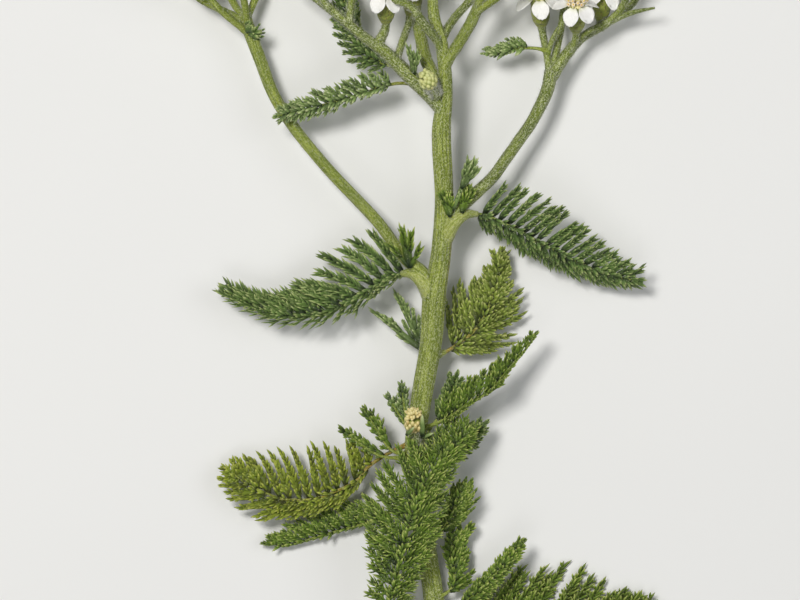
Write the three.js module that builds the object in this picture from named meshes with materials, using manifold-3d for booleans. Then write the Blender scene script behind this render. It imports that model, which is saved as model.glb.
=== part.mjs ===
// One cut flowering stem of common yarrow (Achillea millefolium), lying on a table.
// Millimetres, +Z up. The table is z = 0, the cut end lies towards -Y and the flower heads
// towards +Y. The origin is the middle of the plant's footprint.

import * as THREE from "three";
import { mergeVertices } from "three/addons/utils/BufferGeometryUtils.js";
import Module from "manifold-3d";

const wasm = await Module();
wasm.setup();

// ---------------------------------------------------------------- driving dimensions

const FOOTPRINT_CENTRE = [1.9, -1.2]; // of the plant, in the frame in which its lines are given
const GAP = 0.3; // between two touching pieces
const CUT_END_Y = -62;
const CUT_END_HEIGHT = 1.42; // of the stem's centre line above the table
const STEM_RISE = 0.1; // height gained for each millimetre along the stem

const STEM_SIDES = 12;
const STEM_STEPS = 20;
const STEM_RIB_DEPTH = 0.07; // share of the radius
const BRANCH_SIDES = 8;
const STALK_SIDES = 4; // the cup has twice as many
const STALK_STEPS = 4;
const STALK_APPROACH = 2.2; // how far below the cup the stalk takes up the cup's direction
const STALK_RADIUS = 0.54;

const BLADE_THICKNESS = 0.6;
const RIB_HALF_WIDTH = 0.34;
const RIB_HALF_HEIGHT = 0.36;

const CUP_RADIUS = 1.42; // the involucre, the scaly green cup under a flower head
const CUP_LENGTH = 4.2;
const DISC_RADIUS = 1.35;
const RAYS_PER_HEAD = 5;
const RAY_LENGTH = 2.3;
const RAY_HALF_WIDTH = 1.22;

// ---------------------------------------------------------------- materials

function matte(colour, roughness) {
  return new THREE.MeshStandardMaterial({ color: colour, roughness, metalness: 0 });
}

const MATERIALS = {
  stem: matte(0xa9b77a, 0.75),
  spray: matte(0x9aa877, 0.75),
  bloom: matte(0xf4f2ea, 0.6),
  darkLeaf: matte(0x3f5f45, 0.7),
  greenLeaf: matte(0x5c7d3c, 0.7),
  oliveLeaf: matte(0x7f8b3d, 0.7),
  paleLeaf: matte(0xb7bd6a, 0.7),
  bud: matte(0xd8cf8f, 0.7),
};

// ---------------------------------------------------------------- lines

/** Height of the main stem's centre line above the table. */
function stemHeight(y) {
  return CUT_END_HEIGHT + STEM_RISE * (y - CUT_END_Y);
}

// x, y and radius of the main stem from its cut end to the foot of the crown spray.
const STEM_LINE = [
  [6.2, -62, 1.5],
  [5.6, -53, 1.5],
  [5.1, -45, 1.5],
  [4.2, -39, 1.46],
  [2.8, -30, 1.48],
  [2.2, -22.5, 1.5],
  [3.2, -15, 1.5],
  [4.7, -6, 1.62],
  [5.1, 0, 1.7],
  [6.2, 7.5, 1.45],
  [6.6, 15, 1.35],
  [6.2, 25.5, 1.4],
  [6.8, 31.5, 1.0],
  [6.2, 38.2, 0.94],
  [5.1, 42, 0.86],
  [4.8, 46, 0.7],
];

/** A seeded source of numbers from 0 to 1, alike on every run. */
function seeded(seed) {
  let state = seed * 2654435761;
  return () => {
    state = (state * 1664525 + 1013904223) % 4294967296;
    return state / 4294967296;
  };
}

function vector([x, y, z]) {
  return new THREE.Vector3(x, y, z);
}

/** A smooth curve through hand-set points. */
function smooth(points) {
  return new THREE.CatmullRomCurve3(points.map(vector), false, "centripetal");
}

/** Straight interpolation in a list of values, with t from 0 to 1. */
function along(values, t) {
  const place = t * (values.length - 1);
  const index = Math.min(Math.floor(place), values.length - 2);
  return THREE.MathUtils.lerp(values[index], values[index + 1], place - index);
}

// ---------------------------------------------------------------- closed meshes

/** Collects vertices and triangles of one closed body. */
class Body {
  constructor() {
    this.positions = [];
    this.triangles = [];
  }

  point(p) {
    this.positions.push(p.x, p.y, p.z);
    return this.positions.length / 3 - 1;
  }

  ring(points) {
    return points.map((p) => this.point(p));
  }

  triangle(a, b, c) {
    this.triangles.push(a, b, c);
  }

  quad(a, b, c, d) {
    this.triangle(a, b, c);
    this.triangle(a, c, d);
  }

  /** Joins two rings of the same length, the first one nearer the start. */
  bridge(lower, upper) {
    lower.forEach((corner, i) => {
      const next = (i + 1) % lower.length;
      this.quad(corner, lower[next], upper[next], upper[i]);
    });
  }

  /** Joins a ring to one with twice as many corners. */
  widen(lower, upper) {
    lower.forEach((corner, i) => {
      const next = lower[(i + 1) % lower.length];
      const middle = upper[2 * i + 1];
      this.triangle(corner, middle, upper[2 * i]);
      this.triangle(corner, next, middle);
      this.triangle(next, upper[(2 * i + 2) % upper.length], middle);
    });
  }

  /** Covers a closed outline with a fan from one hub. */
  fan(hub, outline) {
    outline.forEach((corner, i) => this.triangle(hub, corner, outline[(i + 1) % outline.length]));
  }

  solid() {
    const mesh = new wasm.Mesh({
      numProp: 3,
      vertProperties: new Float32Array(this.positions),
      triVerts: new Uint32Array(this.triangles),
    });
    return new wasm.Manifold(mesh);
  }
}

/** Turns a three.js geometry into a solid. */
function solidOf(geometry) {
  const bare = geometry.clone();
  bare.deleteAttribute("normal");
  bare.deleteAttribute("uv");
  const merged = mergeVertices(bare);
  const mesh = new wasm.Mesh({
    numProp: 3,
    vertProperties: merged.attributes.position.array,
    triVerts: new Uint32Array(merged.index.array),
  });
  return new wasm.Manifold(mesh);
}

const FRAME_LIMIT = 0.95; // most that a frame's side may lean along the curve

/** Frames that travel along a curve without spinning round it. */
function travellingFrames(curve, count) {
  const frames = [];
  let side = new THREE.Vector3(0, 0, 1);
  for (let i = 0; i < count; i += 1) {
    const t = i / (count - 1);
    const tangent = curve.getTangent(t);
    if (Math.abs(side.dot(tangent)) > FRAME_LIMIT) side = new THREE.Vector3(1, 0, 0);
    side = side.clone().addScaledVector(tangent, -side.dot(tangent)).normalize();
    const other = new THREE.Vector3().crossVectors(tangent, side);
    frames.push({ t, centre: curve.getPoint(t), tangent, side, other });
  }
  return frames;
}

/** Points of a ring round a centre, in the plane of two directions. */
function circle(centre, side, other, count, radiusAt) {
  const points = [];
  for (let i = 0; i < count; i += 1) {
    const angle = (2 * Math.PI * i) / count;
    const p = centre.clone().addScaledVector(side, radiusAt(i) * Math.cos(angle));
    points.push(p.addScaledVector(other, radiusAt(i) * Math.sin(angle)));
  }
  return points;
}

/** A closed tube through points, its radius read from a list, with raised ribs if asked. */
function tube(points, radii, sides, steps, ribDepth = 0, extra = 0) {
  const body = new Body();
  const frames = travellingFrames(smooth(points), steps + 1);
  const rings = frames.map((frame) => {
    const radius = along(radii, frame.t) + extra;
    const reach = (i) => radius * (i % 2 ? 1 - ribDepth : 1);
    return body.ring(circle(frame.centre, frame.side, frame.other, sides, reach));
  });
  for (let i = 1; i < rings.length; i += 1) body.bridge(rings[i - 1], rings[i]);
  const first = body.point(frames[0].centre);
  const last = body.point(frames[steps].centre);
  body.fan(first, [...rings[0]].reverse());
  body.fan(last, rings[steps]);
  return body.solid();
}

// ---------------------------------------------------------------- fronds

// Half outlines of a leaflet by its number of teeth, from its foot to just short of its tip:
// place along it, share of its half width. The far half repeats them a little further out.
const LEAFLET_EDGES = {
  0: [
    [0.2, 0.45],
    [0.5, 1],
  ],
  1: [
    [0.17, 0.42],
    [0.45, 1],
    [0.56, 0.42],
  ],
  2: [
    [0.12, 0.4],
    [0.3, 0.95],
    [0.39, 0.4],
    [0.58, 0.85],
    [0.68, 0.32],
  ],
};
const FAR_HALF_SHIFT = 0.06;
const TIP_EDGE = [[0.45, 1], [0.5, 0.4], [1, 0], [0.5, -0.4], [0.45, -1]];
const LEAFLET_HUB = 0.4; // place along a leaflet at which it is thickest
const TIP_HUB = 0.3;
const LEAFLET_WIDTH = 0.46; // half width, as a share of the spacing, where a frond gives none
const LEAFLET_MOST_WIDTH = 0.3; // half width, as a share of its length
const TIP_WIDTH = 0.45; // half width of the tip leaflet, as a share of the spacing
const TIP_MOST_WIDTH = 0.42; // and as a share of its length
const LEAFLET_DROOP = 0.08; // where a frond gives none
const LENGTH_SPREAD = 0.16; // of a leaflet, as a share of its length
const LEAN_DROP = 8; // degrees from the foot of the blade to its tip
const LEAN_SPREAD = 6; // degrees
const LEAFLET_TWIST = 18; // degrees, like the slats of a blind
const TWIST_SPREAD = 10; // degrees
const STEADY_REACH = 0.16; // share of the frond's length, to each side
const RIB_TAPER = 0.3; // share of its height that the midrib loses to its tip

/** The way a line runs near one place, read over a stretch so that leaflets spread evenly. */
function steadyDirection(curve, u) {
  const before = curve.getPointAt(Math.max(0, u - STEADY_REACH));
  const after = curve.getPointAt(Math.min(1, u + STEADY_REACH));
  return after.sub(before).normalize();
}

/** The rib's frame at one place: forward, left and up, turned by the blade's roll. */
function ribFrame(curve, u, roll) {
  const centre = curve.getPointAt(u);
  const forward = steadyDirection(curve, u);
  const up = new THREE.Vector3(0, 0, 1);
  up.addScaledVector(forward, -up.dot(forward)).normalize();
  const left = new THREE.Vector3().crossVectors(up, forward);
  const turned = left.clone().multiplyScalar(Math.cos(roll)).addScaledVector(up, Math.sin(roll));
  const raised = up.clone().multiplyScalar(Math.cos(roll)).addScaledVector(left, -Math.sin(roll));
  return { centre, forward, left: turned, up: raised };
}

/** The four corners of the rib at a frame: top and bottom, left and right. */
function ribCorners(body, frame, halfWidth, halfHeight) {
  const corner = (side, level) => {
    const p = frame.centre.clone();
    p.addScaledVector(frame.left, side * halfWidth);
    p.addScaledVector(frame.up, level * halfHeight);
    return body.point(p);
  };
  return {
    leftTop: corner(1, 1),
    leftLow: corner(1, -1),
    rightTop: corner(-1, 1),
    rightLow: corner(-1, -1),
  };
}

/** A run of the rib between two sets of corners, top and bottom split alike. */
function ribRun(body, a, b) {
  body.triangle(a.leftTop, a.rightTop, b.rightTop);
  body.triangle(a.leftTop, b.rightTop, b.leftTop);
  body.triangle(a.leftLow, b.rightLow, a.rightLow);
  body.triangle(a.leftLow, b.leftLow, b.rightLow);
}

/** The bare side walls of the petiole between two sets of corners. */
function ribWalls(body, a, b) {
  body.quad(a.leftTop, b.leftTop, b.leftLow, a.leftLow);
  body.quad(a.rightTop, a.rightLow, b.rightLow, b.rightTop);
}

/** Outline of a leaflet as [place along it, signed width], near half first. */
function leafletOutline(teeth) {
  const near = LEAFLET_EDGES[teeth].map(([place, width]) => [place, -width]);
  const far = LEAFLET_EDGES[teeth].map(([place, width]) => [place + FAR_HALF_SHIFT, width]).reverse();
  return [...near, [1, 0], ...far];
}

/** Directions of a leaflet: along it, across it, the way it faces and the way that it droops from. */
function leafletFrame(frame, side, { fold, lean, twist }) {
  const outward = frame.left.clone().multiplyScalar(side * Math.cos(fold));
  outward.addScaledVector(frame.up, Math.sin(fold));
  const normal = frame.up.clone().multiplyScalar(Math.cos(fold));
  normal.addScaledVector(frame.left, -side * Math.sin(fold));
  const axis = frame.forward.clone().multiplyScalar(Math.cos(lean));
  axis.addScaledVector(outward, Math.sin(lean));
  const level = frame.forward.clone().multiplyScalar(Math.sin(lean));
  level.addScaledVector(outward, -Math.cos(lean));
  const across = level.clone().multiplyScalar(Math.cos(twist)).addScaledVector(normal, Math.sin(twist));
  const face = normal.clone().multiplyScalar(Math.cos(twist)).addScaledVector(level, -Math.sin(twist));
  return { axis, across, face, normal };
}

/** One toothed leaflet, grown from one side of the rib between two sets of corners. */
function leaflet(body, frame, a, b, side, size) {
  const { axis, across, face, normal } = leafletFrame(frame, side, size);
  const root = frame.centre.clone().addScaledVector(frame.left, side * RIB_HALF_WIDTH);
  const place = (far, width, lift) => {
    const p = root.clone().addScaledVector(axis, far * size.length);
    p.addScaledVector(across, width * size.halfWidth);
    p.addScaledVector(normal, -size.droop * far * far * size.length);
    return body.point(p.addScaledVector(face, lift));
  };
  const rim = leafletOutline(size.teeth).map(([far, width]) => place(far, width, 0));
  const last = rim[rim.length - 1];
  const topHub = place(LEAFLET_HUB, 0, BLADE_THICKNESS / 2);
  const lowHub = place(LEAFLET_HUB, 0, -BLADE_THICKNESS / 2);
  if (side > 0) {
    body.fan(topHub, [a.leftTop, ...rim, b.leftTop].reverse());
    body.fan(lowHub, [a.leftLow, ...rim, b.leftLow]);
    body.triangle(a.leftLow, a.leftTop, rim[0]);
    body.triangle(b.leftTop, b.leftLow, last);
  } else {
    body.fan(topHub, [a.rightTop, ...rim, b.rightTop]);
    body.fan(lowHub, [a.rightLow, ...rim, b.rightLow].reverse());
    body.triangle(a.rightTop, a.rightLow, rim[0]);
    body.triangle(b.rightLow, b.rightTop, last);
  }
}

/** The three-pointed leaflet at the frond's tip. */
function tipLeaflet(body, frame, end, length, halfWidth) {
  const place = (far, width, lift) => {
    const p = frame.centre.clone().addScaledVector(frame.forward, far * length);
    p.addScaledVector(frame.left, width * halfWidth);
    return body.point(p.addScaledVector(frame.up, lift));
  };
  const rim = TIP_EDGE.map(([far, width]) => place(far, width, 0));
  const topHub = place(TIP_HUB, 0, BLADE_THICKNESS / 2);
  const lowHub = place(TIP_HUB, 0, -BLADE_THICKNESS / 2);
  body.fan(topHub, [end.leftTop, ...rim, end.rightTop].reverse());
  body.fan(lowHub, [end.leftLow, ...rim, end.rightLow]);
  body.triangle(end.leftLow, end.leftTop, rim[0]);
  body.triangle(end.rightTop, end.rightLow, rim[rim.length - 1]);
}

/** Places of the rib's cross-sections: the petiole's, then one between every two pairs. */
function ribPlaces(spec, petioleSteps, bladeEnd) {
  const places = [];
  for (let i = 0; i < petioleSteps; i += 1) places.push((spec.bare * i) / petioleSteps);
  for (let i = 0; i <= spec.pairs; i += 1) {
    places.push(THREE.MathUtils.lerp(spec.bare, bladeEnd, i / spec.pairs));
  }
  return places;
}

/** Size and turns of one leaflet, share being its place along the blade. */
function leafletSize(spec, side, share, spacing, random) {
  const degrees = THREE.MathUtils.degToRad;
  const lean = degrees(spec.lean - LEAN_DROP * share + LEAN_SPREAD * (random() - 0.5));
  const reach = along(spec.lengths, share) * spec.sides[side > 0 ? 0 : 1];
  const halfWidth = (spec.width ?? LEAFLET_WIDTH) * spacing * Math.sin(lean);
  return {
    lean,
    fold: degrees(spec.fold),
    length: reach * (1 + LENGTH_SPREAD * (random() - 0.5)),
    halfWidth: Math.min(halfWidth, LEAFLET_MOST_WIDTH * reach),
    twist: degrees(-side * LEAFLET_TWIST + TWIST_SPREAD * (random() - 0.5)),
    droop: spec.droop ?? LEAFLET_DROOP,
    teeth: spec.teeth,
  };
}

/**
 * A frond: a petiole and a midrib with toothed leaflets on both sides, as one closed body.
 * spec: line, pairs, bare (share of the line that is petiole), lengths (of the leaflets from
 * the foot of the blade to its tip, mm), sides (share of that on the left and the right),
 * lean, fold and roll in degrees (roll at the foot and at the tip), teeth, seed and, where
 * they aren't the usual, width (half width of a leaflet as a share of the spacing), droop and
 * petioleSteps.
 */
function frond(spec) {
  const body = new Body();
  const curve = smooth(spec.line);
  const random = seeded(spec.seed);
  const rollAt = (u) => THREE.MathUtils.degToRad(along(spec.roll, u));
  const petioleSteps = spec.petioleSteps ?? 2;
  const tip = spec.lengths[spec.lengths.length - 1];
  const bladeEnd = 1 - tip / curve.getLength();
  const spacing = (curve.getLength() * (bladeEnd - spec.bare)) / spec.pairs;
  const places = ribPlaces(spec, petioleSteps, bladeEnd);
  const corners = places.map((u, i) => {
    const thick = 1 - RIB_TAPER * Math.max(0, (i - petioleSteps) / spec.pairs);
    return ribCorners(body, ribFrame(curve, u, rollAt(u)), RIB_HALF_WIDTH, RIB_HALF_HEIGHT * thick);
  });
  const start = corners[0];
  body.quad(start.leftTop, start.leftLow, start.rightLow, start.rightTop);
  for (let i = 1; i < places.length; i += 1) {
    ribRun(body, corners[i - 1], corners[i]);
    if (i <= petioleSteps) {
      ribWalls(body, corners[i - 1], corners[i]);
      continue;
    }
    const share = (i - petioleSteps - 0.5) / spec.pairs;
    const middle = (places[i - 1] + places[i]) / 2;
    const frame = ribFrame(curve, middle, rollAt(middle));
    for (const side of [1, -1]) {
      const size = leafletSize(spec, side, share, spacing, random);
      leaflet(body, frame, corners[i - 1], corners[i], side, size);
    }
  }
  const end = ribFrame(curve, bladeEnd, rollAt(1));
  const tipHalfWidth = Math.min(TIP_WIDTH * spacing, TIP_MOST_WIDTH * tip);
  tipLeaflet(body, end, corners[corners.length - 1], tip, tipHalfWidth);
  return body.solid();
}

const FRONDS = {
  leaf_long_left: {
    material: "darkLeaf",
    line: [[3.4, 2.4, 6.9], [0.8, 3.75, 6.3], [-3, 2.6, 6.2], [-7.5, -0.4, 6], [-12, -1.8, 5.7],
      [-16.5, -2.2, 5.2], [-21.8, -0.9, 4.6], [-27, 1.2, 4]],
    pairs: 11, bare: 0.1, lengths: [7.5, 7.4, 6.2, 5, 3.8, 2.2], sides: [0.8, 1],
    lean: 74, width: 0.37, fold: 50, roll: [46, 42], teeth: 2, petioleSteps: 3, seed: 1,
  },
  leaf_long_right: {
    material: "darkLeaf",
    line: [[7.8, 12.4, 8.2], [10.8, 13, 7.9], [12.4, 12.5, 7.8], [16.8, 10.5, 7.4], [22.5, 8, 7],
      [28.2, 5.1, 6.5], [32.8, 3.4, 6], [36.3, 2.9, 5.6]],
    pairs: 12, bare: 0.16, lengths: [4, 5.4, 5.4, 4.8, 4, 2.4], sides: [1, 0.86],
    lean: 66, fold: -4, roll: [18, 14], teeth: 1, seed: 2,
  },
  leaf_upper_left: {
    material: "darkLeaf",
    line: [[5.6, 31.2, 10.2], [1, 32.4, 9.4], [-1.2, 32.3, 9.3], [-5.6, 30.9, 9], [-9, 29.9, 8.8],
      [-12.8, 28.9, 8.4], [-16.6, 28, 8], [-18.9, 27.4, 7.8]],
    pairs: 9, bare: 0.2, lengths: [2, 2.9, 3, 2.8, 2.2, 1.4], sides: [0.6, 1],
    lean: 60, fold: 14, roll: [12, 12], teeth: 0, seed: 3,
  },
  leaf_behind_branch: {
    material: "darkLeaf",
    line: [[0.1, 34.7, 9.5], [-2.1, 35.3, 7.9], [-4.9, 36.8, 7.4], [-6.9, 40, 7.4], [-8.2, 44, 6.8],
      [-8.6, 47.5, 6.4]],
    pairs: 7, bare: 0.14, lengths: [3, 4.4, 4.6, 4, 3, 2], sides: [1, 1],
    lean: 52, fold: 4, roll: [0, 0], teeth: 1, seed: 4,
  },
  leaf_small_right: {
    material: "darkLeaf",
    line: [[21.4, 37.4, 6.6], [19.2, 37.8, 7], [17.4, 37.7, 7.3], [15, 36.9, 7.5], [12.3, 37, 7.6]],
    pairs: 6, bare: 0.14, lengths: [2.4, 2.6, 2.4, 1.8, 1.2], sides: [0.9, 1],
    lean: 56, fold: 30, roll: [24, 20], teeth: 0, seed: 5,
  },
  leaf_broad_back: {
    material: "oliveLeaf",
    line: [[5.9, -8.2, 5.7], [7.4, -6.9, 4.9], [11.2, -4.4, 3.9], [13, -1.5, 3.5], [14.2, 2.2, 3.4],
      [14.8, 7, 3.6]],
    pairs: 9, bare: 0.16, lengths: [4.5, 6, 6.2, 5.4, 4, 2.6], sides: [0.86, 1],
    lean: 58, width: 0.38, fold: 2, roll: [0, 0], teeth: 2, seed: 6,
  },
  leaf_back_left: {
    material: "oliveLeaf",
    line: [[2.9, -7.3, 5.6], [-0.8, -4.6, 4.4], [-4.6, -1.7, 3.6]],
    pairs: 3, bare: 0.26, lengths: [6, 4.4, 2.6], sides: [0.3, 1],
    lean: 52, fold: 2, roll: [0, 0], teeth: 2, seed: 7,
  },
  leaf_front_right: {
    material: "greenLeaf",
    line: [[3.7, -19.2, 7], [7.2, -17.7, 8], [10.5, -15.3, 8.6], [13.6, -13.5, 9], [16, -10.7, 9],
      [18.9, -7.2, 8.8], [20.5, -4.8, 8.6]],
    pairs: 9, bare: 0.14, lengths: [4, 4.6, 4.2, 3, 1.8, 1.3], sides: [1, 0.7],
    lean: 50, width: 0.35, fold: 48, roll: [-42, -42], teeth: 1, seed: 8,
  },
  leaf_dark_right: {
    material: "darkLeaf",
    line: [[4.1, -19.6, 5.3], [5.9, -17.6, 5.1], [7.5, -15, 4.9], [8.7, -9.9, 4.7]],
    pairs: 5, bare: 0.2, lengths: [2.4, 2.8, 2.4, 1.8], sides: [1, 1],
    lean: 50, fold: 4, roll: [0, 0], teeth: 0, seed: 9,
  },
  leaf_short_right: {
    material: "greenLeaf",
    line: [[3.6, -23.6, 5.3], [8.2, -22.4, 5.6], [11, -20.4, 6.1], [13.2, -18, 6.6]],
    pairs: 6, bare: 0.2, lengths: [3, 3.4, 2.8, 1.8], sides: [1, 0.8],
    lean: 56, fold: 12, roll: [8, 8], teeth: 1, seed: 10,
  },
  leaf_front: {
    material: "darkLeaf",
    line: [[4.4, -57, 3], [1.2, -54.6, 4.8], [-1.4, -50.6, 6.4], [-1.9, -46.4, 7.8], [-0.7, -42.4, 8.9],
      [0.3, -38, 9.6], [1.7, -32.6, 9.9], [3.6, -28.2, 9.9], [6.4, -23.9, 9.7], [9.9, -20.8, 9.4],
      [13.2, -18.3, 9]],
    pairs: 10, bare: 0.2, lengths: [4, 6, 7.4, 7, 5, 2.6], sides: [1, 0.85],
    lean: 62, fold: 0, roll: [-10, -6], teeth: 2, seed: 11,
  },
  leaf_pale_left: {
    material: "paleLeaf",
    line: [[0.9, -21.8, 5.2], [-2.7, -23.8, 4.8], [-4.9, -25.2, 4.6], [-6.4, -27.1, 4.4],
      [-9.8, -28.8, 4.2], [-15, -29.2, 3.9], [-21, -27.8, 3.5], [-26.7, -25.5, 3.1]],
    pairs: 11, bare: 0.24, lengths: [4.4, 6.6, 6.8, 6, 5, 3.4], sides: [0.6, 1],
    lean: 70, fold: 6, roll: [6, 8], teeth: 2, seed: 12,
  },
  leaf_low_left: {
    material: "greenLeaf",
    line: [[1.4, -30.9, 4.5], [-1.5, -31.5, 3.7], [-6.1, -33.9, 2.6], [-11.7, -35.3, 2.1],
      [-14.7, -36.7, 1.9], [-17.6, -37, 1.8], [-20.8, -36.7, 1.8]],
    pairs: 8, bare: 0.16, lengths: [3, 3.4, 3.2, 2.6, 1.8, 1.4], sides: [0.7, 1],
    lean: 54, width: 0.32, fold: 44, roll: [40, 36], teeth: 1, seed: 13,
  },
  leaf_axil_left: {
    material: "greenLeaf",
    line: [[1, -22.4, 6.4], [-1.4, -22.2, 6.8], [-3.6, -19.4, 7], [-5.7, -15.9, 7]],
    pairs: 4, bare: 0.24, lengths: [4, 2.8, 2, 1.4], sides: [1.3, 0.8],
    lean: 44, width: 0.38, fold: 4, roll: [0, 0], teeth: 1, seed: 14,
  },
  leaf_axil_back: {
    material: "greenLeaf",
    line: [[1.3, -18, 4.9], [-0.2, -16, 4.4], [-1.6, -12.8, 4.2]],
    pairs: 4, bare: 0.25, lengths: [2, 2.2, 1.6], sides: [1, 1],
    lean: 44, fold: 4, roll: [0, 0], teeth: 0, seed: 15,
  },
  leaf_fan_right: {
    material: "greenLeaf",
    line: [[5.2, -35.8, 4.4], [6.6, -34, 4.8], [8.1, -30.5, 5.2], [9.6, -26.6, 5.3]],
    pairs: 6, bare: 0.2, lengths: [2.6, 3.2, 2.8, 2], sides: [1, 1],
    lean: 50, fold: 4, roll: [0, 0], teeth: 0, seed: 16,
  },
  leaf_curl_right: {
    material: "paleLeaf",
    line: [[5.7, -44.8, 3.9], [7.3, -43.6, 3.6], [7.7, -41.4, 3.4], [7.2, -38.8, 3.2], [7.4, -36.4, 3.2],
      [8.6, -34, 3.2]],
    pairs: 5, bare: 0.18, lengths: [3, 4, 4, 3.4, 2.2], sides: [0.4, 1],
    lean: 54, width: 0.4, fold: 4, roll: [0, 0], teeth: 0, seed: 17,
  },
  leaf_large_right: {
    material: "oliveLeaf",
    line: [[6.2, -48.6, 2.8], [9, -49.3, 2.2], [14, -49.9, 1.1], [20, -50, 0.22], [27, -49.1, 0.22],
      [34, -47.6, 0.9], [40.2, -46, 1.2]],
    pairs: 13, bare: 0.1, lengths: [7, 10.8, 11.2, 9.8, 7, 3.4], sides: [1, 0.72],
    lean: 68, fold: 8, roll: [0, 0], teeth: 2, droop: 0.04, seed: 18,
  },
  leaf_narrow_right: {
    material: "oliveLeaf",
    line: [[6, -46.7, 4.2], [9.8, -45, 5.4], [14, -40.5, 6.2], [18.4, -35.5, 6.4]],
    pairs: 7, bare: 0.2, lengths: [2.2, 2.8, 2.6, 1.8], sides: [1, 1],
    lean: 50, fold: 6, roll: [0, 0], teeth: 0, seed: 19,
  },
  shoot_right: {
    material: "darkLeaf",
    line: [[7.2, 14.6, 11], [8.8, 16.6, 11.6], [10.2, 19.2, 12]],
    pairs: 3, bare: 0.3, lengths: [1.6, 1.6, 1.2], sides: [1, 1],
    lean: 42, fold: 10, roll: [0, 0], teeth: 0, seed: 20,
  },
  shoot_upper_left: {
    material: "darkLeaf",
    line: [[1.6, 34.6, 12.4], [1.7, 36, 12.9], [1.6, 37.8, 13.1]],
    pairs: 3, bare: 0.2, lengths: [1.4, 1.4, 1], sides: [1, 1],
    lean: 40, fold: 10, roll: [0, 0], teeth: 0, seed: 21,
  },
};

// ---------------------------------------------------------------- sprays

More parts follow.
